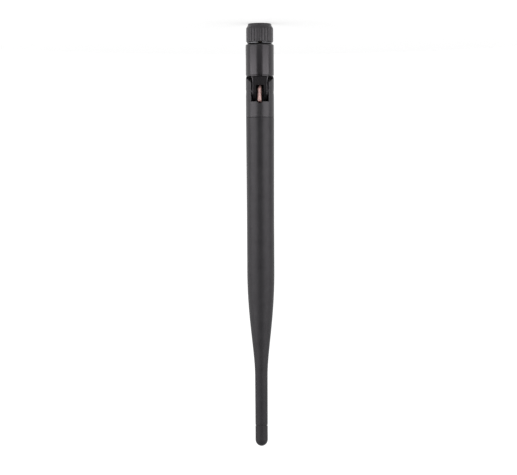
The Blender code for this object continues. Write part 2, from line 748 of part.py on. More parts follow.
def build_hinge_fork(carrier, material):
    """Ears, back wall, floor and spigot turned in one, then shaped round the hinge and slotted.

    The square back end stands on the collar's rebate, which stops the whip from leaning back.
    """
    start = HOUSING_END
    rear_end = COLLAR_END - COLLAR_REAR_REBATE + SEAT_GAP - start
    hinge = HINGE_LEVEL - start
    floor = FLOOR_LEVEL - start
    seam = SEAM_LEVEL - start
    spigot_end = SPIGOT_END - start
    socket_floor = seam + SPIGOT_WALL
    corners = [
        (FORK_CABLE_BORE_RADIUS, 0),
        (FORK_RADIUS, 0),
        (FORK_RADIUS, seam - SEAM_BEVEL),
        (FORK_RADIUS - SEAM_BEVEL, seam),
        (SPIGOT_RADIUS, seam),
        (SPIGOT_RADIUS, spigot_end - SEAM_BEVEL),
        (SPIGOT_RADIUS - SEAM_BEVEL, spigot_end),
        (SLEEVE_SOCKET_RADIUS, spigot_end),
        (SLEEVE_SOCKET_RADIUS, socket_floor),
        (FORK_CABLE_BORE_RADIUS, socket_floor),
    ]
    fork = place("hinge_fork", turned("hinge_fork", corners), start, carrier, material)
    slab = extruded_along_x("fork_end", fork_end_outline(hinge, rear_end, 2 * spigot_end), 2 * FORK_RADIUS)
    combine(fork, "INTERSECT", "fork_end", slab)
    slot_low = (-FORK_SLOT_HALF_WIDTH, -2 * FORK_RADIUS, -FORK_RADIUS)
    slot_high = (FORK_SLOT_HALF_WIDTH, FORK_WALL_INSIDE, floor)
    combine(fork, "DIFFERENCE", "fork_slot", box_mesh("fork_slot", slot_low, slot_high))
    notch_level = floor + NOTCH_DEPTH - NOTCH_RADIUS
    notch = rod_mesh("cable_notch", NOTCH_RADIUS, (0, -2 * FORK_RADIUS, notch_level), (0, 0, notch_level))
    combine(fork, "DIFFERENCE", "cable_notch", notch, "MANIFOLD")
    for side, name in ((-1, "left_ear_bore"), (1, "right_ear_bore")):
        near = (side * TONGUE_HALF_WIDTH, 0, hinge)
        far = (side * 2 * FORK_RADIUS, 0, hinge)
        ear_bore = rod_mesh(name, PIN_RADIUS + SEAT_GAP, near, far)
        combine(fork, "DIFFERENCE", name, ear_bore, "MANIFOLD")
    return fork


def build_hinge_pin(name, side, carrier, material):
    """A short pin through one ear into the tongue's cheek, clear of the cable's slot."""
    near = side * (TONGUE_SLOT_HALF_WIDTH + SEAT_GAP)
    far = side * (FORK_RADIUS - PIN_RECESS)
    mesh = rod_mesh(name, PIN_RADIUS, (near, 0, 0), (far, 0, 0), PIN_BEVEL)
    return place(name, mesh, HINGE_LEVEL, carrier, material)


def taper_point(share, start_radius, end_radius):
    """(radius, level above the taper's start) on the smooth curve from tube to rod."""
    rest = 1 - share
    first = rest**3
    second = 3 * rest**2 * share
    third = 3 * rest * share**2
    last = share**3
    level = second * TAPER_START_PULL + third * (TAPER_LENGTH - TAPER_END_PULL) + last * TAPER_LENGTH
    radius = (first + second) * start_radius + (third + last) * end_radius
    return radius, level


def build_radome(carrier, material):
    """Tube, smooth taper and thin rod, hollow throughout."""
    draft_end = RADOME_DRAFT_LENGTH
    taper_start = TAPER_START - RADOME_START
    length = RADOME_END - RADOME_START
    socket_end = SPIGOT_END + TURN_GAP - RADOME_START
    inner_radius = RADOME_SLIM_RADIUS - RADOME_WALL
    outside = [
        (FORK_RADIUS - SEAM_BEVEL, 0),
        (FORK_RADIUS, SEAM_BEVEL),
        (RADOME_SLIM_RADIUS, draft_end),
    ]
    inside = []
    for step in range(TAPER_STEPS + 1):
        radius, level = taper_point(step / TAPER_STEPS, RADOME_SLIM_RADIUS, ROD_START_RADIUS)
        outside.append((radius, taper_start + level))
        if step % 2 == 0:
            radius, level = taper_point(step / TAPER_STEPS, inner_radius, ROD_BORE_RADIUS)
            inside.append((radius, taper_start + level))
    outside += [(ROD_END_RADIUS, length - ROD_END_BEVEL), (ROD_END_RADIUS - ROD_END_BEVEL, length)]
    inside.insert(0, (inner_radius, socket_end))
    inside.insert(0, (RADOME_BORE_RADIUS, socket_end))
    inside.insert(0, (RADOME_BORE_RADIUS, 0))
    inside.append((ROD_BORE_RADIUS, length))
    corners = outside + inside[::-1]
    return place("radome", turned("radome", corners), RADOME_START, carrier, material)


def build_tip_cap(carrier, material):
    """Spigot with the wire's pocket, a shallow groove, then a straight part with a domed end."""
    spigot = ROD_BORE_RADIUS - SEAT_GAP
    pocket = WIRE_RADIUS + TURN_GAP
    groove = ROD_END_RADIUS - TIP_GROOVE_DEPTH
    body_start = TIP_GROOVE_WIDTH
    dome_start = body_start + TIP_STRAIGHT_LENGTH
    corners = [
        (0, 0),
        (pocket, 0),
        (pocket, -TIP_SPIGOT_LENGTH),
        (spigot, -TIP_SPIGOT_LENGTH),
        (spigot, 0),
        (groove, 0),
        (groove, body_start),
        (ROD_END_RADIUS - ROD_END_BEVEL, body_start),
        (ROD_END_RADIUS, body_start + ROD_END_BEVEL),
    ]
    for step in range(TIP_DOME_STEPS + 1):
        angle = math.pi / 2 * step / TIP_DOME_STEPS
        radius = ROD_END_RADIUS * math.cos(angle) if step < TIP_DOME_STEPS else 0
        corners.append((radius, dome_start + TIP_DOME_LENGTH * math.sin(angle)))
    mesh = turned("tip_cap", corners, MIDDLE_ROUND_STEPS)
    return place("tip_cap", mesh, TIP_START, carrier, material)


def cable_points():
    """Straight up the axis, with a slight bow to the front across the hinge."""
    bow_start = COLLAR_END + TONGUE_BRIDGE - CABLE_RADIUS
    bow_end = FLOOR_LEVEL + CABLE_RADIUS
    lower_steps = math.ceil((bow_start - CABLE_START) / CABLE_POINT_SPACING)
    upper_steps = math.ceil((CABLE_END - bow_end) / CABLE_POINT_SPACING)
    levels = [CABLE_START + (bow_start - CABLE_START) * step / lower_steps for step in range(lower_steps)]
    levels += [bow_start + (bow_end - bow_start) * step / CABLE_BOW_STEPS for step in range(CABLE_BOW_STEPS)]
    levels += [bow_end + (CABLE_END - bow_end) * step / upper_steps for step in range(upper_steps + 1)]
    points = []
    for level in levels:
        share = min(max((level - bow_start) / (bow_end - bow_start), 0), 1)
        forward = CABLE_BOW * math.sin(math.pi * share) ** 2
        points.append((0, -forward, level - CABLE_START))
    return points


def build_coax_cable(carrier, material):
    curve = curve_data("coax_cable", cable_points(), CABLE_RADIUS)
    return place("coax_cable", curve, CABLE_START, carrier, material)


def build_coax_braid_end(carrier, material):
    start = CABLE_END + SEAT_GAP
    end = (0, 0, BRAID_END - start)
    mesh = rod_mesh("coax_braid_end", CABLE_BRAID_RADIUS, (0, 0, 0), end, steps=WIRE_ROUND_STEPS)
    return place("coax_braid_end", mesh, start, carrier, material)


def build_coax_dielectric_end(carrier, material):
    start = BRAID_END + SEAT_GAP
    end = (0, 0, DIELECTRIC_END - start)
    mesh = rod_mesh("coax_dielectric_end", CABLE_DIELECTRIC_RADIUS, (0, 0, 0), end, steps=WIRE_ROUND_STEPS)
    return place("coax_dielectric_end", mesh, start, carrier, material)


def build_sleeve(carrier, material):
    """Quarter-wave tube, open at the foot, with an end wall soldered to the braid."""
    inner = SLEEVE_RADIUS - SLEEVE_WALL
    hole = CABLE_BRAID_RADIUS + SEAT_GAP
    corners = [
        (inner, 0),
        (SLEEVE_RADIUS, 0),
        (SLEEVE_RADIUS, SLEEVE_LENGTH),
        (hole, SLEEVE_LENGTH),
        (hole, SLEEVE_LENGTH - SLEEVE_END_WALL),
        (inner, SLEEVE_LENGTH - SLEEVE_END_WALL),
    ]
    mesh = turned("sleeve", corners, MIDDLE_ROUND_STEPS)
    return place("sleeve", mesh, SLEEVE_START, carrier, material)


def build_sleeve_spacer(carrier, material):
    outer = SLEEVE_RADIUS - SLEEVE_WALL - SEAT_GAP
    inner = CABLE_RADIUS + TURN_GAP
    corners = [(inner, 0), (outer, 0), (outer, SLEEVE_SPACER_LENGTH), (inner, SLEEVE_SPACER_LENGTH)]
    mesh = turned("sleeve_spacer", corners, SMALL_ROUND_STEPS)
    return place("sleeve_spacer", mesh, SLEEVE_START + SLEEVE_SPACER_INSET, carrier, material)


def build_feed_shrink(carrier, material):
    inner = WIRE_RADIUS + SEAT_GAP
    outer = inner + SHRINK_WALL
    corners = [(inner, 0), (outer, 0), (outer, SHRINK_LENGTH), (inner, SHRINK_LENGTH)]
    mesh = turned("feed_shrink", corners, WIRE_ROUND_STEPS)
    return place("feed_shrink", mesh, BRAID_END + TURN_GAP, carrier, material)


def radiator_points():
    """Straight wire, a coil that eases out from the axis and back, then straight wire to the tip."""
    coil_start = COIL_START - WIRE_START
    coil_end = coil_start + COIL_TURNS * COIL_PITCH
    wire_end = WIRE_END - WIRE_START
    lower_steps = math.ceil(coil_start / WIRE_POINT_SPACING)
    upper_steps = math.ceil((wire_end - coil_end) / WIRE_POINT_SPACING)
    points = [(0, 0, coil_start * step / lower_steps) for step in range(lower_steps)]
    coil_steps = COIL_TURNS * COIL_STEPS_PER_TURN
    for step in range(coil_steps + 1):
        turns = step / COIL_STEPS_PER_TURN
        ease = smooth_step(turns / COIL_EASE_TURNS) * smooth_step((COIL_TURNS - turns) / COIL_EASE_TURNS)
        radius = COIL_RADIUS * ease
        angle = 2 * math.pi * turns
        level = coil_start + COIL_PITCH * turns
        points.append((radius * math.cos(angle), radius * math.sin(angle), level))
    for step in range(1, upper_steps + 1):
        points.append((0, 0, coil_end + (wire_end - coil_end) * step / upper_steps))
    return points


def build_radiator(carrier, material):
    curve = curve_data("radiator", radiator_points(), WIRE_RADIUS, bevel_resolution=1)
    return place("radiator", curve, WIRE_START, carrier, material)


def build_foam_spacer(carrier, material):
    outer = RADOME_SLIM_RADIUS - RADOME_WALL - SEAT_GAP
    inner = WIRE_RADIUS + SEAT_GAP
    corners = [(inner, 0), (outer, 0), (outer, FOAM_LENGTH), (inner, FOAM_LENGTH)]
    mesh = turned("foam_spacer", corners, SMALL_ROUND_STEPS)
    return place("foam_spacer", mesh, WIRE_START + FOAM_ABOVE_FEED, carrier, material)


def build_antenna():
    remove_startup_objects()
    black = make_material("black_plastic", (0.018, 0.018, 0.02), 0.38)
    matte_black = make_material("matte_black_plastic", (0.02, 0.02, 0.022), 0.5)
    gold = make_material("gold_plate", (0.83, 0.62, 0.26), 0.25, 1.0)
    steel = make_material("spring_steel", (0.35, 0.35, 0.37), 0.3, 1.0)
    brass = make_material("brass", (0.72, 0.52, 0.2), 0.3, 1.0)
    copper = make_material("copper", (0.72, 0.34, 0.2), 0.3, 1.0)
    tin = make_material("tinned_copper", (0.6, 0.6, 0.6), 0.35, 1.0)
    brown = make_material("brown_cable", (0.2, 0.07, 0.04), 0.3)
    white = make_material("white_fluoropolymer", (0.85, 0.85, 0.82), 0.45)
    rubber = make_material("silicone", (0.5, 0.08, 0.05), 0.6)
    foam = make_material("foam", (0.75, 0.75, 0.72), 0.9)

    connector = make_axis("connector_axis", 0)
    nut = make_axis("nut_axis", 0)
    swivel = make_axis("swivel_axis", HOUSING_START)
    tilt = make_axis("tilt_axis", HINGE_LEVEL)

    build_connector_shell(connector, gold)
    build_insulator(connector, white)
    build_centre_contact(connector, gold)
    build_crimp_ferrule(connector, brass)
    build_nut_gasket(connector, rubber)

    build_nut_grip(nut, black)
    build_coupling_nut(nut, gold)
    build_nut_snap_ring(nut, steel)

    build_swivel_washer(connector, steel)
    build_retaining_clip(connector, steel)
    build_swivel_housing(swivel, black)

    build_hinge_fork(tilt, black)
    build_hinge_pin("hinge_pin_left", -1, tilt, steel)
    build_hinge_pin("hinge_pin_right", 1, tilt, steel)
    build_coax_cable(swivel, brown)
    build_coax_braid_end(tilt, tin)
    build_coax_dielectric_end(tilt, white)
    build_sleeve(tilt, brass)
    build_sleeve_spacer(tilt, white)
    build_feed_shrink(tilt, matte_black)
    build_radiator(tilt, copper)
    build_foam_spacer(tilt, foam)
    build_radome(tilt, matte_black)
    build_tip_cap(tilt, matte_black)


build_antenna()
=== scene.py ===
"""Looks for the folding whip antenna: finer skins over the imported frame, materials, light and camera.

Shapes are made in millimetres in the frame's own axes, and scaled to metres when each piece is placed.
"""

import json
import math

import bmesh
import bpy
from mathutils import Matrix, Vector


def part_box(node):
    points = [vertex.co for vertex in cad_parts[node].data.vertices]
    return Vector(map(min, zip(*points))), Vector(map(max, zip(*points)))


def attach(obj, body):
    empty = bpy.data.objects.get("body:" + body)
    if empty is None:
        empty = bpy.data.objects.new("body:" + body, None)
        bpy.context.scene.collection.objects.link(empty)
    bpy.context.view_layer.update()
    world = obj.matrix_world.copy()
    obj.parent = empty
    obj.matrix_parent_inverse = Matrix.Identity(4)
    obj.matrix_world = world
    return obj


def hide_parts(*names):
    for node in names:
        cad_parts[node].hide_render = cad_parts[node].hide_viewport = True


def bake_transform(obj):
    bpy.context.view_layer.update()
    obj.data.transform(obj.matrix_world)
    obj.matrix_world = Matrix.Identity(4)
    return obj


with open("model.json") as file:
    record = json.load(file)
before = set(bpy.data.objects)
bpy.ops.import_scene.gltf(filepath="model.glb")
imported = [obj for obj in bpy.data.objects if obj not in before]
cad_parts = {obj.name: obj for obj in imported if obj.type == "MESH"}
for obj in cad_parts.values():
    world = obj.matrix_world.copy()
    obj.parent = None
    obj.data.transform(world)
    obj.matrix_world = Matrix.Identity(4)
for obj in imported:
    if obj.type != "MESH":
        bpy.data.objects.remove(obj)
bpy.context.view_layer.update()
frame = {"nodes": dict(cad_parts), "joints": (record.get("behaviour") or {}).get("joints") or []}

MM = 0.001

# How finely round things are drawn
ROUND = 144
MEDIUM_ROUND = 96
SMALL_ROUND = 48
FILLET_STEPS = 5
SHARP_ANGLE = math.radians(32)
BEVEL_ANGLE = math.radians(50)

# How far a corner may lie off a round face, and how far a face may lean along the round's axis
ROUND_TOLERANCE = 0.02
ROUND_LEAN = 0.05

# How far a shape runs into the one that it is joined to or cut from
SINK = 0.6

# Grip
GRIP_BORE = 4.45
GRIP_LIP_RADIUS = 5.5
GRIP_LIP_LENGTH = 1.1
GRIP_LIP_ROUNDING = 0.7
GRIP_RADIUS = 6.24
GRIP_SHOULDER = 1.5
GRIP_SHOULDER_STEPS = 8
GRIP_END_BEVEL = 0.45
RIB_COUNT = 24
RIB_DEPTH = 0.3
RIB_SHARPNESS = 4
STEPS_PER_RIB = 12

# Coupling nut
NUT_RADIUS = 4.4
NUT_BEVEL = 0.3
THREAD_PITCH = 0.7056
THREAD_CREST = 2.83
THREAD_ROOT = 3.17
THREAD_LENGTH = 5.0
THREAD_RELIEF_RADIUS = 3.25
THREAD_RINGS_PER_TURN = 12
THREAD_FLAT = 0.15
NUT_BACK_HOLE = 2.85

# Plug
TUBE_OUTSIDE = 2.3
TUBE_INSIDE = 2.05
TUBE_LENGTH = 2.7
NECK_RADIUS = 2.75
BARREL_RADIUS = 3.2
NECK_LENGTH = 3.3
CRIMP_NECK_RADIUS = 1.5
CRIMP_NECK_LENGTH = 3.0
SHELL_BORE = 0.53
SHELL_END_WALL = 4.0
INSULATOR_RADIUS = 2.0
INSULATOR_HOLE = 0.67
CONTACT_RADIUS = 0.62
CONTACT_BORE = 0.47
CONTACT_BORE_DEPTH = 2.6
CONTACT_SLOT = 0.15
CONTACT_SLOT_DEPTH = 2.2
SMALL_BEVEL = 0.06

# Spring washer
WASHER_INSIDE = 3.45
WASHER_OUTSIDE = 5.9
WASHER_THICKNESS = 0.38
WASHER_BEVEL = 0.08
WASHER_SPLIT = math.radians(18)
WASHER_PLACE = math.radians(-92)
WASHER_RISE = 0.1
WASHER_RISE_ANGLE = math.radians(22)
WASHER_STEPS = 160

# Swivel housing
HOUSING_RADIUS = 6.53
HOUSING_LENGTH = 14.85
HOUSING_FOOT_RADIUS = 5.45
HOUSING_FOOT_FLARE = 0.33
HOUSING_FOOT_LENGTH = 0.33
HOUSING_BORE = 3.3
HOUSING_LOW_ROUNDING = 0.7
HOUSING_TOP_ROUNDING = 0.35
COLLAR_RADIUS = 6.1
COLLAR_LENGTH = 0.35
COLLAR_ROUNDING = 0.12
COLLAR_REBATE = 0.25
COLLAR_REBATE_START = 1.3
TONGUE_HALF_WIDTH = 3.55
TONGUE_END_RADIUS = 4.4
TONGUE_EDGE = 0.45
TONGUE_FLARE = 0.6
TONGUE_FLARE_LENGTH = 3.0
TONGUE_SLOT_HALF_WIDTH = 1.8
TONGUE_SLOT_BACK = 2.0
TONGUE_BRIDGE = 4.1
TONGUE_BORE = 1.15
TONGUE_FOOT_INSET = 0.015

# Fork
FORK_RADIUS = 6.5
FORK_SLOT_HALF_WIDTH = 4.0
FORK_WALL_INSIDE = 4.6
FORK_FLOOR_THICKNESS = 7.1
FORK_REAR_START = 1.5
FORK_EDGE = 0.3
FORK_CABLE_BORE = 1.3
NOTCH_RADIUS = 1.3
NOTCH_DEPTH = 0.8
SPIGOT_RADIUS = 5.2
SEAM_BEVEL = 0.12
PIN_RADIUS = 1.2
PIN_BORE = 1.25
PIN_DOME = 0.2

# Cable
CABLE_RADIUS = 0.9
CABLE_BOW = 2.4
CABLE_BOW_RISE = 2.7
CABLE_BOW_FALL = 1.4
CABLE_BOW_SIDEWAYS = 0.2
CABLE_STEP = 0.25

# Radome and tip cap
RADOME_WALL = 1.25
RADOME_SLIM_RADIUS = 6.28
RADOME_DRAFT = 44.45
RADOME_STRAIGHT = 26.0
TAPER_LENGTH = 49.0
TAPER_START_PULL = 22.5
TAPER_END_PULL = 12.0
TAPER_STEPS = 64
ROD_START_RADIUS = 2.9
ROD_END_RADIUS = 2.83
ROD_BEVEL = 0.1
TIP_GROOVE_WIDTH = 0.3
TIP_GROOVE_DEPTH = 0.28
TIP_DOME_LENGTH = 3.1
TIP_DOME_STEPS = 24
TIP_SPIGOT_LENGTH = 5.0
TIP_WIRE_HOLE = 0.6

# Noise in the materials. A scale counts cells to the metre, and depths are in metres
NOISE_MIDDLE = (0.3, 0.7)
CLOUD_SCALE = 260
GLOSS_PATCH_SCALE = 900
GLOSS_PATCH_STRETCH = (1, 1, 0.4)
TOOL_MARK_SCALE = 9000
TOOL_MARK_STRETCH = (0.02, 0.02, 1)
TOOL_MARK_DEPTH = 0.000004
STAIN_SCALE = 1200
SUBSURFACE_SCALE = 0.0005

# Grain of the surfaces: scale and depth
MOULD_GRAIN = (5200, 0.000004)
WHIP_GRAIN = (6500, 0.000006)
WAX_GRAIN = (1500, 0.000004)
RUBBER_GRAIN = (2600, 0.00001)
FOAM_GRAIN = (2200, 0.0001)

# The black plastic's gloss has a faint violet cast
PLASTIC_GLOSS_TINT = (1.0, 0.94, 1.0, 1)

# Roughness that is added up the whip, between two levels in metres
WHIP_WEAR_LEVELS = (0.03, 0.18)
WHIP_WEAR = (0, 0.3)

# Painted shade on the plug's barrel: a dark colour that sets in between two levels in metres
BARREL_SHADE_LEVELS = (0.0082, 0.0088)
BARREL_SHADE_COLOUR = (0.03, 0.027, 0.024, 1)

# The braid that shows through the cable's jacket
BRAID_SLANT = math.radians(40)
BRAID_SCALE = 900
BRAID_DISTORTION = 0.6
BRAID_DEPTH = 0.00002

# The pale round table that the object stands on, and its glow for the rays that show the background
FLOOR_RADIUS = 205
FLOOR_COLOUR = (0.5, 0.5, 0.5, 1)
FLOOR_GLOW = 0.57

# The world's strength in front and behind, and where along Y it passes from one to the other
WORLD_STRENGTHS = (0.04, 1.1)
WORLD_PASSAGE = (-0.3, 0.1)

# Two soft lamps, in metres and degrees: name, azimuth and width of each
LAMP_DISTANCE = 0.9
LAMP_LEVEL = 0.16
LAMP_HEIGHT = 0.7
LAMP_RADIANCE = 3.9
LAMPS = (("softbox_left", 56, 1.0), ("softbox_right", -50, 0.95))

# Where the photograph's camera stands and how it leans, and how much it shows, in millimetres
CAMERA_DISTANCE = 1200
CAMERA_SIDE = 1.0
CAMERA_LEVEL = 98.78
CAMERA_LEAN = math.radians(0.29)
PICTURE_WIDTH_AT_OBJECT = 238.8
SENSOR_WIDTH = 36
CAMERA_CLIP_METRES = 100


def span(node):
    """Lowest and highest level of a node of the frame, in millimetres."""
    low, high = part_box(node)
    return low.z / MM, high.z / MM


HINGE = next(joint for joint in frame["joints"] if joint["name"] == "tilt")["pos_m"][2] / MM
HOUSING_START = span("swivel_housing")[0]
COLLAR_END = HOUSING_START + HOUSING_LENGTH + COLLAR_LENGTH
FLOOR_LEVEL = HINGE + FORK_WALL_INSIDE
SEAM_LEVEL = FLOOR_LEVEL + FORK_FLOOR_THICKNESS

HINGE_CENTRE = Vector((0, 0, HINGE))
UPRIGHT = Vector((0, 0, 1))
ACROSS = Vector((1, 0, 0))
FRONT_TO_BACK = Vector((0, 1, 0))


def circle(radius, level, steps):
    """Points of a level circle about Z, or one point where the radius is nothing."""
    if radius == 0:
        return [Vector((0, 0, level))]
    turns = [2 * math.pi * step / steps for step in range(steps)]
    return [Vector((radius * math.cos(turn), radius * math.sin(turn), level)) for turn in turns]


def piece_from(name, shape):
    """An object in the scene from a finished bmesh."""
    bmesh.ops.recalc_face_normals(shape, faces=shape.faces)
    mesh = bpy.data.meshes.new(name)
    shape.to_mesh(mesh)
    shape.free()
    piece = bpy.data.objects.new(name, mesh)
    bpy.context.scene.collection.objects.link(piece)
    return piece


def skin(name, rings, joined=True, capped=False):
    """Faces between rings of points.

    joined closes the last ring to the first, and capped fills both ends.
    """
    shape = bmesh.new()
    corners = [[shape.verts.new(point) for point in ring] for ring in rings]
    following = corners[1:] + corners[:1] if joined else corners[1:]
    for low, high in zip(corners, following):
        count = max(len(low), len(high))
        if count == 1:
            continue
        for step in range(count):
            ahead = (step + 1) % count
            around = [
                low[step % len(low)],
                low[ahead % len(low)],
                high[ahead % len(high)],
                high[step % len(high)],
            ]
            shape.faces.new(list(dict.fromkeys(around)))
    if capped:
        shape.faces.new(corners[0])
        shape.faces.new(corners[-1])
    return piece_from(name, shape)


def filleted(corners):
    """(radius, level) points, with each (radius, level, rounding) corner turned into an arc."""
    outline = []
    count = len(corners)
    for index, corner in enumerate(corners):
        here = Vector(corner[:2])
        if len(corner) == 2:
            outline.append(here)
            continue
        rounding = corner[2]
        back = (Vector(corners[index - 1][:2]) - here).normalized()
        ahead = (Vector(corners[(index + 1) % count][:2]) - here).normalized()
        half_angle = back.angle(ahead) / 2
        centre = here + (back + ahead).normalized() * (rounding / math.sin(half_angle))
        start = here + back * (rounding / math.tan(half_angle)) - centre
        end = here + ahead * (rounding / math.tan(half_angle)) - centre
        for step in range(FILLET_STEPS + 1):
            direction = start.lerp(end, step / FILLET_STEPS).normalized()
            outline.append(centre + direction * rounding)
    return outline


def turned(name, corners, steps=ROUND):
    """A closed shape turned about Z."""
    return skin(name, [circle(point.x, point.y, steps) for point in filleted(corners)])


def prism(name, outline, axis, start, end):
    """An outline swept along an axis. Across X the outline is (y, z), and across Z it is (x, y)."""
    rings = []
    for reach in (start, end):
        if axis == "X":
            rings.append([Vector((reach, y, z)) for y, z in outline])
        else:
            rings.append([Vector((x, y, reach)) for x, y in outline])
    return skin(name, rings, joined=False, capped=True)


def box(name, low, high):
    """A block between two opposite corners."""
    outline = [(low[0], low[1]), (high[0], low[1]), (high[0], high[1]), (low[0], high[1])]
    return prism(name, outline, "Z", low[2], high[2])


def bar(name, radius, start, end):
    """A round bar between two points."""
    run = Vector(end) - Vector(start)
    rings = [circle(radius, level, SMALL_ROUND) for level in (0, run.length)]
    piece = skin(name, rings, joined=False, capped=True)
    turn = run.to_track_quat("Z", "Y").to_matrix().to_4x4()
    piece.data.transform(Matrix.Translation(start) @ turn)
    return piece


def apply_modifiers(piece):
    """Replaces a piece's mesh with what its modifiers make."""
    graph = bpy.context.evaluated_depsgraph_get()
    mesh = bpy.data.meshes.new_from_object(piece.evaluated_get(graph))
    piece.modifiers.clear()
    piece.data = mesh


def combine(piece, operation, other):
    """One Boolean, after which the other shape is gone."""
    modifier = piece.modifiers.new(operation.lower(), "BOOLEAN")
    modifier.operation = operation
    modifier.solver = "EXACT"
    modifier.object = other
    apply_modifiers(piece)
    bpy.data.objects.remove(other)


def round_edges(piece, width):
    """Rounds every edge of a simple shape that is sharper than BEVEL_ANGLE."""
    modifier = piece.modifiers.new("edges", "BEVEL")
    modifier.width = width
    modifier.segments = FILLET_STEPS
    modifier.limit_method = "ANGLE"
    modifier.angle_limit = BEVEL_ANGLE
    apply_modifiers(piece)


def shade(piece, rounds=()):
    """Smooth shading that keeps sharp edges, with exact normals on each (centre, axis, radius)."""
    piece.data.shade_smooth()
    piece.data.set_sharp_from_angle(angle=SHARP_ANGLE)
    modifier = piece.modifiers.new("normals", "WEIGHTED_NORMAL")
    modifier.keep_sharp = True
    apply_modifiers(piece)
    if not rounds:
        return
    mesh = piece.data
    normals = [Vector(corner.vector) for corner in mesh.corner_normals]
    for face in mesh.polygons:
        for centre, axis, radius in rounds:
            if abs(face.normal.dot(axis)) > ROUND_LEAN:
                continue
            reaches = []
            for vertex in face.vertices:
                offset = mesh.vertices[vertex].co - centre
                reaches.append(offset - axis * offset.dot(axis))
            if any(abs(reach.length - radius) > ROUND_TOLERANCE for reach in reaches):
                continue
            side = 1 if face.normal.dot(reaches[0]) > 0 else -1
            for corner, reach in zip(face.loop_indices, reaches):
                normals[corner] = side * reach.normalized()
            break
    mesh.normals_split_custom_set(normals)


def install(piece, body, material, slot, *nodes):
    """Scales a finished piece to metres and puts it in the place of nodes of the frame."""
    piece.data.transform(Matrix.Scale(MM, 4))
    piece.data.materials.clear()
    piece.data.materials.append(material)
    if body:
        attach(piece, body)
    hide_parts(*nodes)


def socket_link(tree, source, output, target, entry):
    """Joins one node's output to another node's input."""
    tree.links.new(source.outputs[output], target.inputs[entry])


def set_inputs(node, values):
    """Gives a node's inputs their constant values, by name."""
    for entry, value in values.items():
        node.inputs[entry].default_value = value


def new_material(name):
    """A node material with its Principled shader and the object's own coordinates."""
    material = bpy.data.materials.new(name)
    material.use_nodes = True
    tree = material.node_tree
    shader = tree.nodes["Principled BSDF"]
    place = tree.nodes.new("ShaderNodeTexCoord")
    return material, tree, shader, place


def calculate(tree, operation, first, second):
    """A node that works out one value from two outputs."""
    node = tree.nodes.new("ShaderNodeMath")
    node.operation = operation
    tree.links.new(first, node.inputs[0])
    tree.links.new(second, node.inputs[1])
    return node


def map_range(tree, source, output, before, after):
    """A node that maps the values between the two of before onto those between the two of after."""
    ranger = tree.nodes.new("ShaderNodeMapRange")
    ends = {"From Min": before[0], "From Max": before[1], "To Min": after[0], "To Max": after[1]}
    set_inputs(ranger, ends)
    socket_link(tree, source, output, ranger, "Value")
    return ranger


def map_height(tree, levels, values):
    """Maps the levels on the object, in metres, onto values."""
    parts = tree.nodes.new("ShaderNodeSeparateXYZ")
    socket_link(tree, tree.nodes["Texture Coordinate"], "Object", parts, 0)
    return map_range(tree, parts, "Z", levels, values)


def stretched_noise(tree, place, scale, detail, stretch=(1, 1, 1)):
    """Noise in the object's coordinates."""
    mapping = tree.nodes.new("ShaderNodeMapping")
    mapping.inputs["Scale"].default_value = stretch
    noise = tree.nodes.new("ShaderNodeTexNoise")
    set_inputs(noise, {"Scale": scale, "Detail": detail})
    socket_link(tree, place, "Object", mapping, "Vector")
    socket_link(tree, mapping, "Vector", noise, "Vector")
    return noise


def mix_colours(tree, factor):
    """A node that mixes its colours A and B by another node's value."""
    mix = tree.nodes.new("ShaderNodeMix")
    mix.data_type = "RGBA"
    socket_link(tree, factor, 0, mix, "Factor")
    return mix


def colour_by(tree, shader, factor, dark, light):
    """Gives the shader a colour that passes from dark to light with another node's value."""
    mix = mix_colours(tree, factor)
    set_inputs(mix, {"A": (*dark, 1), "B": (*light, 1)})
    socket_link(tree, mix, "Result", shader, "Base Color")


def colour_by_noise(tree, shader, noise, dark, light):
    """Gives the shader a colour that passes from dark to light with a noise."""
    tone = map_range(tree, noise, 0, NOISE_MIDDLE, (0, 1))
    colour_by(tree, shader, tone, dark, light)


def roughen_by_noise(tree, shader, noise, roughness):
    """Gives the shader a roughness that passes from its least to its most with a noise."""
    gloss = map_range(tree, noise, 0, NOISE_MIDDLE, roughness)
    socket_link(tree, gloss, 0, shader, "Roughness")


def add_bump(tree, shader, height, depth):
    """Makes the surface look uneven by up to depth."""
    bump = tree.nodes.new("ShaderNodeBump")
    set_inputs(bump, {"Distance": depth, "Strength": 1})
    socket_link(tree, height, 0, bump, "Height")
    socket_link(tree, bump, "Normal", shader, "Normal")


def plastic(name, dark, light, roughness, gloss_level, grain=MOULD_GRAIN):
    """Moulded black plastic: cloudy tone, uneven gloss and a fine grain from the mould."""
    material, tree, shader, place = new_material(name)
    cloud = stretched_noise(tree, place, CLOUD_SCALE, detail=4)
    colour_by_noise(tree, shader, cloud, dark, light)
    patches = stretched_noise(tree, place, GLOSS_PATCH_SCALE, detail=5, stretch=GLOSS_PATCH_STRETCH)
    roughen_by_noise(tree, shader, patches, roughness)
    grain_scale, grain_depth = grain
    add_bump(tree, shader, stretched_noise(tree, place, grain_scale, detail=2), grain_depth)
    set_inputs(shader, {"Specular IOR Level": gloss_level, "Specular Tint": PLASTIC_GLOSS_TINT})
    return material


def whip_plastic(name):
    """The whip's duller plastic, which loses its gloss towards the tip."""
    material = plastic(
        name,
        dark=(0.018, 0.0175, 0.019),
        light=(0.024, 0.0235, 0.025),
        roughness=(0.29, 0.35),
        gloss_level=0.25,
        grain=WHIP_GRAIN,
    )
    tree = material.node_tree
    shader = tree.nodes["Principled BSDF"]
    patches = shader.inputs["Roughness"].links[0].from_socket
    wear = map_height(tree, WHIP_WEAR_LEVELS, WHIP_WEAR)
    total = calculate(tree, "ADD", patches, wear.outputs[0])
    socket_link(tree, total, 0, shader, "Roughness")
    return material


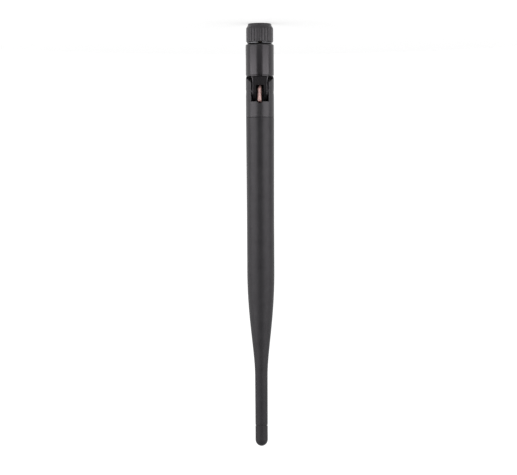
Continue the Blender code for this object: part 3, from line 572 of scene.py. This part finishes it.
def metal(name, dark, light, roughness, stretch=TOOL_MARK_STRETCH):
    """Turned or drawn metal, with fine marks stretched along the cut."""
    material, tree, shader, place = new_material(name)
    shader.inputs["Metallic"].default_value = 1
    marks = stretched_noise(tree, place, TOOL_MARK_SCALE, detail=3, stretch=stretch)
    colour_by_noise(tree, shader, marks, dark, light)
    stains = stretched_noise(tree, place, STAIN_SCALE, detail=4)
    roughen_by_noise(tree, shader, stains, roughness)
    add_bump(tree, shader, marks, TOOL_MARK_DEPTH)
    return material


def plated_metal(name):
    """Gold plate with painted shade, a dark colour, on the barrel, which only shows through the washer's
    gap.
    """
    material = metal(name, (0.68, 0.46, 0.17), (0.86, 0.64, 0.3), (0.16, 0.3))
    tree = material.node_tree
    shader = tree.nodes["Principled BSDF"]
    bright = shader.inputs["Base Color"].links[0].from_node
    # Painted shade: above these levels the barrel's gold turns dark, as if in the recess's shadow
    mix = mix_colours(tree, map_height(tree, BARREL_SHADE_LEVELS, (0, 1)))
    mix.inputs["B"].default_value = BARREL_SHADE_COLOUR
    socket_link(tree, bright, "Result", mix, "A")
    socket_link(tree, mix, "Result", shader, "Base Color")
    return material


def soft_material(name, dark, light, roughness, grain, subsurface=0.0):
    """Waxy, rubbery or foamed plastic."""
    material, tree, shader, place = new_material(name)
    grain_scale, grain_depth = grain
    cells = stretched_noise(tree, place, grain_scale, detail=4)
    colour_by_noise(tree, shader, cells, dark, light)
    set_inputs(shader, {"Roughness": roughness, "Subsurface Weight": subsurface})
    shader.inputs["Subsurface Scale"].default_value = SUBSURFACE_SCALE
    add_bump(tree, shader, cells, grain_depth)
    return material


def cable_jacket(name):
    """A clear red-brown jacket with the braid's crossing wires showing through."""
    material, tree, shader, place = new_material(name)
    waves = []
    for slant in (BRAID_SLANT, -BRAID_SLANT):
        mapping = tree.nodes.new("ShaderNodeMapping")
        mapping.inputs["Rotation"].default_value = (0, slant, 0)
        wave = tree.nodes.new("ShaderNodeTexWave")
        wave.wave_type = "BANDS"
        wave.bands_direction = "X"
        set_inputs(wave, {"Scale": BRAID_SCALE, "Distortion": BRAID_DISTORTION, "Detail": 2})
        socket_link(tree, place, "Object", mapping, "Vector")
        socket_link(tree, mapping, "Vector", wave, "Vector")
        waves.append(wave.outputs["Fac"])
    weave = calculate(tree, "MULTIPLY", *waves)
    colour_by(tree, shader, weave, (0.5, 0.26, 0.23), (0.72, 0.56, 0.52))
    set_inputs(shader, {"Roughness": 0.3, "Specular IOR Level": 0.6})
    set_inputs(shader, {"Coat Weight": 0.6, "Coat Roughness": 0.12})
    add_bump(tree, shader, weave, BRAID_DEPTH)
    return material


def make_grip(material):
    """Plain lip, rounded shoulder, then rounded ribs with a bevelled end."""
    start, end = span("nut_grip")
    shoulder = start + GRIP_LIP_LENGTH
    sections = [(GRIP_BORE, start, 0)]
    for step in range(FILLET_STEPS + 1):
        angle = math.pi / 2 * step / FILLET_STEPS
        radius = GRIP_LIP_RADIUS - GRIP_LIP_ROUNDING * (1 - math.sin(angle))
        sections.append((radius, start + GRIP_LIP_ROUNDING * (1 - math.cos(angle)), 0))
    for step in range(GRIP_SHOULDER_STEPS + 1):
        share = step / GRIP_SHOULDER_STEPS
        radius = GRIP_LIP_RADIUS + (GRIP_RADIUS - GRIP_LIP_RADIUS) * math.sin(math.pi / 2 * share)
        sections.append((radius, shoulder + GRIP_SHOULDER * share, share))
    for step in range(FILLET_STEPS + 1):
        angle = math.pi / 2 * step / FILLET_STEPS
        radius = GRIP_RADIUS - GRIP_END_BEVEL * (1 - math.cos(angle))
        sections.append((radius, end - GRIP_END_BEVEL * (1 - math.sin(angle)), 1))
    sections.append((GRIP_BORE, end, 0))
    count = RIB_COUNT * STEPS_PER_RIB
    rings = []
    for radius, level, rib_share in sections:
        ring = []
        for step in range(count):
            angle = -math.pi / 2 + 2 * math.pi * step / count
            across = 2 * ((step / STEPS_PER_RIB + 0.5) % 1) - 1
            reach = radius - RIB_DEPTH * rib_share * abs(across) ** RIB_SHARPNESS
            ring.append(Vector((reach * math.cos(angle), reach * math.sin(angle), level)))
        rings.append(ring)
    grip = skin("grip", rings)
    shade(grip)
    install(grip, "nut", material, "black_plastic", "nut_grip")


def thread_radius(level, turn):
    """The bore's radius on the thread's helix, with flat crests and roots."""
    share = (level / THREAD_PITCH - turn / (2 * math.pi)) % 1
    slope = abs(2 * share - 1)
    slope = min(max((slope - THREAD_FLAT) / (1 - 2 * THREAD_FLAT), 0), 1)
    return THREAD_CREST + (THREAD_ROOT - THREAD_CREST) * slope


def make_coupling_nut(material):
    """Plain outside, with the thread cut into the bore and a relief behind it."""
    start, end = span("coupling_nut")
    shoulder = span("nut_gasket")[1]
    thread_end = start + THREAD_LENGTH
    rings = [
        circle(THREAD_ROOT + NUT_BEVEL, start, MEDIUM_ROUND),
        circle(NUT_RADIUS - NUT_BEVEL, start, MEDIUM_ROUND),
        circle(NUT_RADIUS, start + NUT_BEVEL, MEDIUM_ROUND),
        circle(NUT_RADIUS, end, MEDIUM_ROUND),
        circle(NUT_BACK_HOLE, end, MEDIUM_ROUND),
        circle(NUT_BACK_HOLE, shoulder + 2 * SMALL_BEVEL, MEDIUM_ROUND),
        circle(THREAD_RELIEF_RADIUS, shoulder + 2 * SMALL_BEVEL, MEDIUM_ROUND),
        circle(THREAD_RELIEF_RADIUS, thread_end, MEDIUM_ROUND),
    ]
    ring_step = THREAD_PITCH / THREAD_RINGS_PER_TURN
    count = int((thread_end - start - NUT_BEVEL) / ring_step)
    for step in range(count + 1):
        level = thread_end - ring_step * step
        chamfer = THREAD_ROOT + NUT_BEVEL - (level - start)
        ring = []
        for point in circle(1, level, MEDIUM_ROUND):
            turn = math.atan2(point.y, point.x)
            reach = max(thread_radius(level, turn), chamfer)
            ring.append(Vector((reach * point.x, reach * point.y, level)))
        rings.append(ring)
    nut = skin("coupling_nut_skin", rings)
    shade(nut)
    install(nut, "nut", material, "gold_plate", "coupling_nut")


def make_shell(material):
    """The plug's outer tube, the neck that the nut turns on, the barrel and the crimp neck."""
    start, end = span("connector_shell")
    shoulder = start + TUBE_LENGTH
    neck_end = shoulder + NECK_LENGTH
    barrel_end = end - CRIMP_NECK_LENGTH
    shell = turned(
        "plug_shell",
        [
            (TUBE_INSIDE, start, SMALL_BEVEL),
            (TUBE_OUTSIDE, start, SMALL_BEVEL),
            (TUBE_OUTSIDE, shoulder),
            (NECK_RADIUS, shoulder, SMALL_BEVEL),
            (NECK_RADIUS, neck_end),
            (BARREL_RADIUS, neck_end, SMALL_BEVEL),
            (BARREL_RADIUS, barrel_end, SMALL_BEVEL),
            (CRIMP_NECK_RADIUS, barrel_end),
            (CRIMP_NECK_RADIUS, end, SMALL_BEVEL),
            (SHELL_BORE, end),
            (SHELL_BORE, barrel_end - SHELL_END_WALL),
            (TUBE_INSIDE, barrel_end - SHELL_END_WALL),
        ],
        MEDIUM_ROUND,
    )
    shade(shell)
    install(shell, "connector", material, "gold_plate", "connector_shell")


def make_insulator(material):
    """The white disc round the centre contact."""
    low, high = span("insulator")
    insulator = turned(
        "plug_insulator",
        [
            (INSULATOR_HOLE, low, SMALL_BEVEL / 2),
            (INSULATOR_RADIUS, low, SMALL_BEVEL / 2),
            (INSULATOR_RADIUS, high),
            (INSULATOR_HOLE, high),
        ],
        MEDIUM_ROUND,
    )
    shade(insulator)
    install(insulator, "connector", material, "white_fluoropolymer", "insulator")


def make_contact(material):
    """The centre contact: a socket with crossed slots."""
    low, high = span("centre_contact")
    contact = turned(
        "plug_contact",
        [
            (0, low + CONTACT_BORE_DEPTH + CONTACT_BORE / 2),
            (CONTACT_BORE, low + CONTACT_BORE_DEPTH),
            (CONTACT_BORE, low, SMALL_BEVEL / 2),
            (CONTACT_RADIUS, low, SMALL_BEVEL / 2),
            (CONTACT_RADIUS, high),
            (0, high),
        ],
        SMALL_ROUND,
    )
    half = CONTACT_SLOT / 2
    wide = 2 * CONTACT_RADIUS
    cut_end = low + CONTACT_SLOT_DEPTH
    combine(contact, "DIFFERENCE", box("slot_x", (-wide, -half, low - wide), (wide, half, cut_end)))
    combine(contact, "DIFFERENCE", box("slot_y", (-half, -wide, low - wide), (half, wide, cut_end)))
    shade(contact)
    install(contact, "connector", material, "gold_plate", "centre_contact")


def make_gasket(material):
    """The soft ring at the bottom of the nut."""
    low, high = span("nut_gasket")
    inside = TUBE_OUTSIDE + SMALL_BEVEL
    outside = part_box("nut_gasket")[1].x / MM
    gasket = turned(
        "plug_gasket",
        [
            (inside, low, SMALL_BEVEL),
            (outside, low, 2 * SMALL_BEVEL),
            (outside, high, 2 * SMALL_BEVEL),
            (inside, high),
        ],
        MEDIUM_ROUND,
    )
    shade(gasket)
    install(gasket, "connector", material, "silicone", "nut_gasket")


def smooth_step(share):
    """0 to 1 with a level start and end."""
    share = min(max(share, 0), 1)
    return share * share * (3 - 2 * share)


def make_washer(material):
    """A split ring with bevelled edges, one end of which stands up from the other."""
    start = span("swivel_washer")[0]
    bevel = WASHER_BEVEL
    section = [
        (WASHER_INSIDE + bevel, 0),
        (WASHER_OUTSIDE - bevel, 0),
        (WASHER_OUTSIDE, bevel),
        (WASHER_OUTSIDE, WASHER_THICKNESS - bevel),
        (WASHER_OUTSIDE - bevel, WASHER_THICKNESS),
        (WASHER_INSIDE + bevel, WASHER_THICKNESS),
        (WASHER_INSIDE, WASHER_THICKNESS - bevel),
        (WASHER_INSIDE, bevel),
    ]
    rings = []
    for step in range(WASHER_STEPS + 1):
        turn = (2 * math.pi - WASHER_SPLIT) * step / WASHER_STEPS
        angle = WASHER_PLACE + WASHER_SPLIT / 2 + turn
        lift = start + WASHER_RISE * smooth_step(1 - turn / WASHER_RISE_ANGLE)
        rings.append([Vector((r * math.cos(angle), r * math.sin(angle), z + lift)) for r, z in section])
    washer = skin("spring_washer", rings, joined=False, capped=True)
    shade(washer)
    install(washer, "connector", material, "spring_steel", "swivel_washer")


def tongue():
    """The flat tongue that is round about the hinge, with rounded edges."""
    outline = [(-TONGUE_END_RADIUS, COLLAR_END - SINK)]
    for step in range(SMALL_ROUND + 1):
        angle = math.pi * (1 - step / SMALL_ROUND)
        outline.append((TONGUE_END_RADIUS * math.cos(angle), HINGE + TONGUE_END_RADIUS * math.sin(angle)))
    outline.append((TONGUE_END_RADIUS, COLLAR_END - SINK))
    piece = prism("tongue", outline, "X", -TONGUE_HALF_WIDTH, TONGUE_HALF_WIDTH)
    round_edges(piece, TONGUE_EDGE)
    return piece


def rounded_rectangle(half_x, half_y, rounding, level):
    """Points of a level rectangle about Z, with rounded corners."""
    points = []
    for corner, (side_x, side_y) in enumerate(((1, 1), (-1, 1), (-1, -1), (1, -1))):
        for step in range(FILLET_STEPS + 1):
            angle = math.pi / 2 * (corner + step / FILLET_STEPS)
            x = side_x * (half_x - rounding) + rounding * math.cos(angle)
            y = side_y * (half_y - rounding) + rounding * math.sin(angle)
            points.append(Vector((x, y, level)))
    return points


def tongue_foot():
    """The tongue's sides curve outwards where they meet the collar."""
    half_y = TONGUE_END_RADIUS - TONGUE_FOOT_INSET
    rings = [rounded_rectangle(TONGUE_HALF_WIDTH + TONGUE_FLARE, half_y, TONGUE_EDGE, COLLAR_END - SINK)]
    for step in range(FILLET_STEPS + 1):
        angle = math.pi / 2 * step / FILLET_STEPS
        half_x = TONGUE_HALF_WIDTH - TONGUE_FOOT_INSET + TONGUE_FLARE * (1 - math.sin(angle))
        level = COLLAR_END + TONGUE_FLARE_LENGTH * (1 - math.cos(angle))
        rings.append(rounded_rectangle(half_x, half_y, TONGUE_EDGE, level))
    return skin("tongue_foot", rings, joined=False, capped=True)


def housing_barrel(bore_end):
    """Barrel and collar turned in one. The collar is a little lower behind, under the fork's back."""
    foot_end = HOUSING_START + HOUSING_FOOT_LENGTH
    end = HOUSING_START + HOUSING_LENGTH
    housing = turned(
        "housing",
        [
            (HOUSING_BORE, HOUSING_START),
            (HOUSING_FOOT_RADIUS, HOUSING_START),
            (HOUSING_FOOT_RADIUS + HOUSING_FOOT_FLARE, foot_end),
            (HOUSING_RADIUS, foot_end, HOUSING_LOW_ROUNDING),
            (HOUSING_RADIUS, end, HOUSING_TOP_ROUNDING),
            (COLLAR_RADIUS, end),
            (COLLAR_RADIUS, COLLAR_END, COLLAR_ROUNDING),
            (0, COLLAR_END),
            (0, bore_end),
            (HOUSING_BORE, bore_end),
        ],
    )
    wide = 2 * HOUSING_RADIUS
    rebate = COLLAR_END - COLLAR_REBATE
    rebate_low = (-wide, COLLAR_REBATE_START, rebate)
    rebate_high = (wide, wide, rebate + wide)
    combine(housing, "DIFFERENCE", box("rebate", rebate_low, rebate_high))
    return housing


def make_housing(material):
    """The barrel with its slotted tongue, and the ways of the cable and the pins through it."""
    wide = 2 * HOUSING_RADIUS
    bore_end = span("connector_shell")[1]
    housing = housing_barrel(bore_end)
    combine(housing, "UNION", tongue())
    combine(housing, "UNION", tongue_foot())
    slot_floor = COLLAR_END + TONGUE_BRIDGE
    slot_low = (-TONGUE_SLOT_HALF_WIDTH, -wide, slot_floor)
    slot_high = (TONGUE_SLOT_HALF_WIDTH, TONGUE_SLOT_BACK, HINGE + wide)
    combine(housing, "DIFFERENCE", box("tongue_slot", slot_low, slot_high))
    cable_way = bar("cable_way", TONGUE_BORE, (0, 0, bore_end - SINK), (0, 0, slot_floor + SINK))
    combine(housing, "DIFFERENCE", cable_way)
    combine(housing, "DIFFERENCE", bar("pin_way", PIN_BORE, (-wide, 0, HINGE), (wide, 0, HINGE)))
    shade(
        housing,
        [
            (HINGE_CENTRE, UPRIGHT, HOUSING_RADIUS),
            (HINGE_CENTRE, UPRIGHT, COLLAR_RADIUS),
            (HINGE_CENTRE, UPRIGHT, TONGUE_BORE),
            (HINGE_CENTRE, ACROSS, TONGUE_END_RADIUS),
            (HINGE_CENTRE, ACROSS, PIN_BORE),
        ],
    )
    install(housing, "housing", material, "black_plastic", "swivel_housing")


def fork_slot_outline():
    """(x, y) of what is cut from between the ears, with the ears' front edges rounded off."""
    centre_x = FORK_SLOT_HALF_WIDTH + FORK_EDGE
    centre_y = -math.sqrt((FORK_RADIUS - FORK_EDGE) ** 2 - centre_x**2)
    away = math.atan2(centre_y, centre_x)
    right = [(FORK_SLOT_HALF_WIDTH, FORK_WALL_INSIDE)]
    for step in range(FILLET_STEPS + 1):
        angle = -math.pi + (away + math.pi) * step / FILLET_STEPS
        right.append((centre_x + FORK_EDGE * math.cos(angle), centre_y + FORK_EDGE * math.sin(angle)))
    last_x, last_y = right[-1]
    right.append((last_x + 2 * centre_x * math.cos(away), last_y + 2 * FORK_RADIUS * math.sin(away)))
    return right + [(-x, y) for x, y in reversed(right)]


def fork_end_outline(rear_end, top):
    """(y, z) of a tall slab that is round about the hinge in front and square behind."""
    wide = 2 * FORK_RADIUS
    last = 1.5 * math.pi + math.asin(FORK_REAR_START / FORK_RADIUS)
    outline = [(FORK_REAR_START, rear_end), (wide, rear_end), (wide, top), (-wide, top), (-wide, HINGE)]
    for step in range(SMALL_ROUND + 1):
        angle = math.pi + (last - math.pi) * step / SMALL_ROUND
        outline.append((FORK_RADIUS * math.cos(angle), HINGE + FORK_RADIUS * math.sin(angle)))
    return outline


def make_fork(material):
    """Two ears with a closed back, the window's floor with its cable notch, and the radome's spigot."""
    start, end = span("hinge_fork")
    wide = 2 * FORK_RADIUS
    fork = turned(
        "fork",
        [
            (FORK_CABLE_BORE, start - SINK),
            (FORK_RADIUS, start - SINK),
            (FORK_RADIUS, SEAM_LEVEL, SEAM_BEVEL),
            (SPIGOT_RADIUS, SEAM_LEVEL),
            (SPIGOT_RADIUS, end, SEAM_BEVEL),
            (FORK_CABLE_BORE, end),
        ],
    )
    combine(fork, "INTERSECT", prism("fork_end", fork_end_outline(start, end + wide), "X", -wide, wide))
    combine(fork, "DIFFERENCE", prism("fork_slot", fork_slot_outline(), "Z", start - wide, FLOOR_LEVEL))
    notch_level = FLOOR_LEVEL + NOTCH_DEPTH - NOTCH_RADIUS
    notch = bar("notch", NOTCH_RADIUS, (0, -wide, notch_level), (0, 0, notch_level))
    combine(fork, "DIFFERENCE", notch)
    for side in (-1, 1):
        ear_way = bar("ear_way", PIN_BORE, (0, 0, HINGE), (side * wide, 0, HINGE))
        combine(fork, "DIFFERENCE", ear_way)
    shade(
        fork,
        [
            (HINGE_CENTRE, UPRIGHT, FORK_RADIUS),
            (HINGE_CENTRE, UPRIGHT, FORK_CABLE_BORE),
            (HINGE_CENTRE, ACROSS, FORK_RADIUS),
            (HINGE_CENTRE, ACROSS, PIN_BORE),
            (Vector((0, 0, notch_level)), FRONT_TO_BACK, NOTCH_RADIUS),
        ],
    )
    install(fork, "whip", material, "black_plastic", "hinge_fork")


def make_pins(material):
    """Short pins with a slightly domed head."""
    for side, node in ((-1, "hinge_pin_left"), (1, "hinge_pin_right")):
        low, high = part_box(node)
        near = min(abs(low.x), abs(high.x)) / MM
        far = max(abs(low.x), abs(high.x)) / MM
        pin = turned(
            node + "_skin",
            [
                (0, near),
                (PIN_RADIUS, near, SMALL_BEVEL),
                (PIN_RADIUS, far - PIN_DOME, SMALL_BEVEL),
                (PIN_RADIUS / 2, far - PIN_DOME / 4),
                (0, far),
            ],
            SMALL_ROUND,
        )
        turn = Matrix.Rotation(side * math.pi / 2, 4, "Y")
        pin.data.transform(Matrix.Translation(HINGE_CENTRE) @ turn)
        shade(pin)
        install(pin, "whip", material, "spring_steel", node)


def make_cable(material):
    """The cable's whole run, with a fixed bow between the tongue and the fork's floor."""
    start, end = span("coax_cable")
    bow_start = COLLAR_END + TONGUE_BRIDGE - CABLE_RADIUS
    bow_end = FLOOR_LEVEL + CABLE_RADIUS
    count = math.ceil((end - start) / CABLE_STEP)
    rings = []
    for step in range(count + 1):
        level = start + (end - start) * step / count
        rise = smooth_step((level - bow_start) / CABLE_BOW_RISE)
        fall = smooth_step((bow_end - level) / CABLE_BOW_FALL)
        bow = Vector((CABLE_BOW_SIDEWAYS, -CABLE_BOW, 0)) * rise * fall
        ring = circle(CABLE_RADIUS, level, SMALL_ROUND)
        rings.append([point + bow for point in ring])
    cable = skin("cable", rings, joined=False, capped=True)
    shade(cable)
    install(cable, None, material, "brown_cable", "coax_cable")
    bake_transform(cable)


def taper_point(share, start_radius, end_radius):
    """(radius, level above the taper's start) on the smooth curve from tube to rod."""
    rest = 1 - share
    second = 3 * rest**2 * share
    third = 3 * rest * share**2
    last = share**3
    level = second * TAPER_START_PULL + third * (TAPER_LENGTH - TAPER_END_PULL) + last * TAPER_LENGTH
    radius = (rest**3 + second) * start_radius + (third + last) * end_radius
    return radius, level


def make_radome(material):
    """Tube, smooth taper and thin rod, hollow throughout."""
    start, end = span("radome")
    taper_start = start + RADOME_DRAFT + RADOME_STRAIGHT
    rod_bore = ROD_END_RADIUS - RADOME_WALL
    slim_bore = RADOME_SLIM_RADIUS - RADOME_WALL
    wide_bore = FORK_RADIUS - RADOME_WALL
    outside = [(FORK_RADIUS, start, SEAM_BEVEL), (RADOME_SLIM_RADIUS, start + RADOME_DRAFT)]
    inside = [(wide_bore, start), (wide_bore, span("hinge_fork")[1] + 2 * SMALL_BEVEL)]
    inside.append((slim_bore, inside[-1][1]))
    for step in range(TAPER_STEPS + 1):
        radius, level = taper_point(step / TAPER_STEPS, RADOME_SLIM_RADIUS, ROD_START_RADIUS)
        outside.append((radius, taper_start + level))
        radius, level = taper_point(step / TAPER_STEPS, slim_bore, rod_bore)
        inside.append((radius, taper_start + level))
    outside.append((ROD_END_RADIUS, end, ROD_BEVEL))
    inside.append((rod_bore, end))
    radome = turned("whip_cover", outside + inside[::-1])
    shade(radome)
    install(radome, "whip", material, "matte_black_plastic", "radome")


def make_tip(material):
    """Cap with its spigot in the rod, a fine groove and a domed end."""
    low, end = span("tip_cap")
    start = low + TIP_SPIGOT_LENGTH
    spigot = ROD_END_RADIUS - RADOME_WALL - 2 * SMALL_BEVEL
    dome_start = end - TIP_DOME_LENGTH
    corners = [
        (0, start),
        (TIP_WIRE_HOLE, start),
        (TIP_WIRE_HOLE, low),
        (spigot, low, SMALL_BEVEL),
        (spigot, start),
        (ROD_END_RADIUS - TIP_GROOVE_DEPTH, start),
        (ROD_END_RADIUS - TIP_GROOVE_DEPTH, start + TIP_GROOVE_WIDTH),
        (ROD_END_RADIUS, start + TIP_GROOVE_WIDTH, ROD_BEVEL),
    ]
    for step in range(TIP_DOME_STEPS + 1):
        angle = math.pi / 2 * step / TIP_DOME_STEPS
        radius = ROD_END_RADIUS * math.cos(angle) if step < TIP_DOME_STEPS else 0
        corners.append((radius, dome_start + TIP_DOME_LENGTH * math.sin(angle)))
    cap = turned("whip_cap", corners)
    shade(cap)
    install(cap, "whip", material, "matte_black_plastic", "tip_cap")


def dress_inner_nodes(materials):
    """The pieces that nothing shows keep the frame's shapes and get their real materials."""
    for node, key in {
        "nut_snap_ring": "steel",
        "retaining_clip": "steel",
        "crimp_ferrule": "brass",
        "coax_braid_end": "tin",
        "coax_dielectric_end": "white",
        "sleeve": "brass",
        "sleeve_spacer": "white",
        "feed_shrink": "matte",
        "radiator": "copper",
        "foam_spacer": "foam",
    }.items():
        data = frame["nodes"][node].data
        data.materials.clear()
        data.materials.append(materials[key])


def make_materials():
    """Every material by its short name."""
    return {
        "black": plastic(
            "black_plastic",
            dark=(0.006, 0.0057, 0.0063),
            light=(0.009, 0.0086, 0.0095),
            roughness=(0.21, 0.27),
            gloss_level=0.53,
        ),
        "fork": plastic(
            "fork_plastic",
            dark=(0.018, 0.0175, 0.0187),
            light=(0.024, 0.0234, 0.0248),
            roughness=(0.31, 0.37),
            gloss_level=0.37,
        ),
        "ribbed": plastic(
            "ribbed_plastic",
            dark=(0.025, 0.0242, 0.0258),
            light=(0.034, 0.033, 0.035),
            roughness=(0.26, 0.34),
            gloss_level=0.5,
        ),
        "matte": whip_plastic("matte_plastic"),
        "gold": plated_metal("gold_plate"),
        "steel": metal("spring_steel", (0.13, 0.13, 0.14), (0.26, 0.26, 0.275), (0.24, 0.42)),
        "brass": metal("brass", (0.58, 0.4, 0.16), (0.76, 0.56, 0.24), (0.24, 0.4)),
        "copper": metal("copper", (0.6, 0.27, 0.16), (0.78, 0.4, 0.25), (0.22, 0.38)),
        "tin": metal("tinned_copper", (0.45, 0.44, 0.42), (0.68, 0.67, 0.65), (0.3, 0.5), stretch=(1, 1, 1)),
        "white": soft_material(
            "fluoropolymer",
            dark=(0.74, 0.74, 0.71),
            light=(0.84, 0.84, 0.82),
            roughness=0.4,
            grain=WAX_GRAIN,
            subsurface=0.15,
        ),
        "rubber": soft_material(
            "silicone",
            dark=(0.34, 0.05, 0.035),
            light=(0.46, 0.08, 0.055),
            roughness=0.55,
            grain=RUBBER_GRAIN,
        ),
        "foam": soft_material(
            "foam",
            dark=(0.6, 0.6, 0.57),
            light=(0.8, 0.8, 0.77),
            roughness=0.9,
            grain=FOAM_GRAIN,
        ),
        "cable": cable_jacket("cable_jacket"),
    }


def background_rays(tree, kinds):
    """An output that is 1 for the camera's rays and the other kinds of ray that show the background."""
    path = tree.nodes.new("ShaderNodeLightPath")
    seen = path.outputs["Is Camera Ray"]
    for kind in kinds:
        seen = calculate(tree, "MAXIMUM", seen, path.outputs[kind]).outputs[0]
    return seen


def make_floor():
    """A pale round table that looks white to the camera but keeps the object's soft shadow."""
    shape = bmesh.new()
    bmesh.ops.create_circle(shape, cap_ends=True, segments=ROUND, radius=FLOOR_RADIUS * MM)
    floor = piece_from("floor", shape)
    material = bpy.data.materials.new("pale_floor")
    material.use_nodes = True
    tree = material.node_tree
    tree.nodes.clear()
    output = tree.nodes.new("ShaderNodeOutputMaterial")
    matte = tree.nodes.new("ShaderNodeBsdfDiffuse")
    matte.inputs["Color"].default_value = FLOOR_COLOUR
    glow = tree.nodes.new("ShaderNodeEmission")
    glow.inputs["Strength"].default_value = FLOOR_GLOW
    total = tree.nodes.new("ShaderNodeAddShader")
    both = tree.nodes.new("ShaderNodeMixShader")
    socket_link(tree, matte, 0, total, 0)
    socket_link(tree, glow, 0, total, 1)
    tree.links.new(background_rays(tree, ("Is Glossy Ray", "Is Transmission Ray")), both.inputs[0])
    socket_link(tree, matte, 0, both, 1)
    socket_link(tree, total, 0, both, 2)
    socket_link(tree, both, 0, output, "Surface")
    floor.data.materials.append(material)


def make_world():
    """White behind everything for the camera, and a studio that is bright behind and dim in front."""
    world = bpy.data.worlds.new("studio")
    bpy.context.scene.world = world
    world.use_nodes = True
    tree = world.node_tree
    tree.nodes.clear()
    place = tree.nodes.new("ShaderNodeTexCoord")
    parts = tree.nodes.new("ShaderNodeSeparateXYZ")
    socket_link(tree, place, "Generated", parts, 0)
    studio = map_range(tree, parts, "Y", WORLD_PASSAGE, WORLD_STRENGTHS)
    studio.interpolation_type = "SMOOTHSTEP"
    seen = background_rays(tree, ("Is Transmission Ray",))
    strength = calculate(tree, "MAXIMUM", studio.outputs[0], seen)
    background = tree.nodes.new("ShaderNodeBackground")
    background.inputs["Color"].default_value = (1, 1, 1, 1)
    output = tree.nodes.new("ShaderNodeOutputWorld")
    socket_link(tree, strength, 0, background, "Strength")
    socket_link(tree, background, 0, output, "Surface")


def add_softbox(name, azimuth, width):
    """A soft lamp. Azimuth 0 is the camera's side, and it grows towards +X."""
    data = bpy.data.lights.new(name, "AREA")
    data.shape = "RECTANGLE"
    data.size = width
    data.size_y = LAMP_HEIGHT
    data.energy = LAMP_RADIANCE * math.pi * width * LAMP_HEIGHT
    lamp = bpy.data.objects.new(name, data)
    turn = math.radians(azimuth)
    lamp.location = (LAMP_DISTANCE * math.sin(turn), -LAMP_DISTANCE * math.cos(turn), LAMP_LEVEL)
    towards = Vector((0, 0, LAMP_LEVEL)) - lamp.location
    lamp.rotation_euler = towards.to_track_quat("-Z", "Y").to_euler()
    lamp.visible_camera = False
    bpy.context.scene.collection.objects.link(lamp)


def make_camera():
    """The photograph's camera: far off, level, and upside-down, so the plug is at the picture's top."""
    data = bpy.data.cameras.new("camera")
    data.sensor_width = SENSOR_WIDTH
    data.lens = SENSOR_WIDTH * CAMERA_DISTANCE / PICTURE_WIDTH_AT_OBJECT
    data.clip_end = CAMERA_CLIP_METRES
    camera = bpy.data.objects.new("camera", data)
    right = Vector((-math.cos(CAMERA_LEAN), 0, math.sin(CAMERA_LEAN)))
    up = Vector((-math.sin(CAMERA_LEAN), 0, -math.cos(CAMERA_LEAN)))
    back = Vector((0, -1, 0))
    turn = Matrix((right, up, back)).transposed().to_4x4()
    place = Vector((CAMERA_SIDE, -CAMERA_DISTANCE, CAMERA_LEVEL)) * MM
    camera.matrix_world = Matrix.Translation(place) @ turn
    bpy.context.scene.collection.objects.link(camera)
    bpy.context.scene.camera = camera


def build_scene():
    """The dressed pieces, and what the picture needs round them."""
    materials = make_materials()
    make_camera()
    make_grip(materials["ribbed"])
    make_coupling_nut(materials["gold"])
    make_shell(materials["gold"])
    make_insulator(materials["white"])
    make_contact(materials["gold"])
    make_gasket(materials["rubber"])
    make_washer(materials["steel"])
    make_housing(materials["black"])
    make_fork(materials["fork"])
    make_pins(materials["steel"])
    make_cable(materials["cable"])
    make_radome(materials["matte"])
    make_tip(materials["matte"])
    dress_inner_nodes(materials)
    make_floor()
    make_world()
    for name, azimuth, width in LAMPS:
        add_softbox(name, azimuth, width)
    bpy.context.scene.view_settings.view_transform = "Standard"


build_scene()
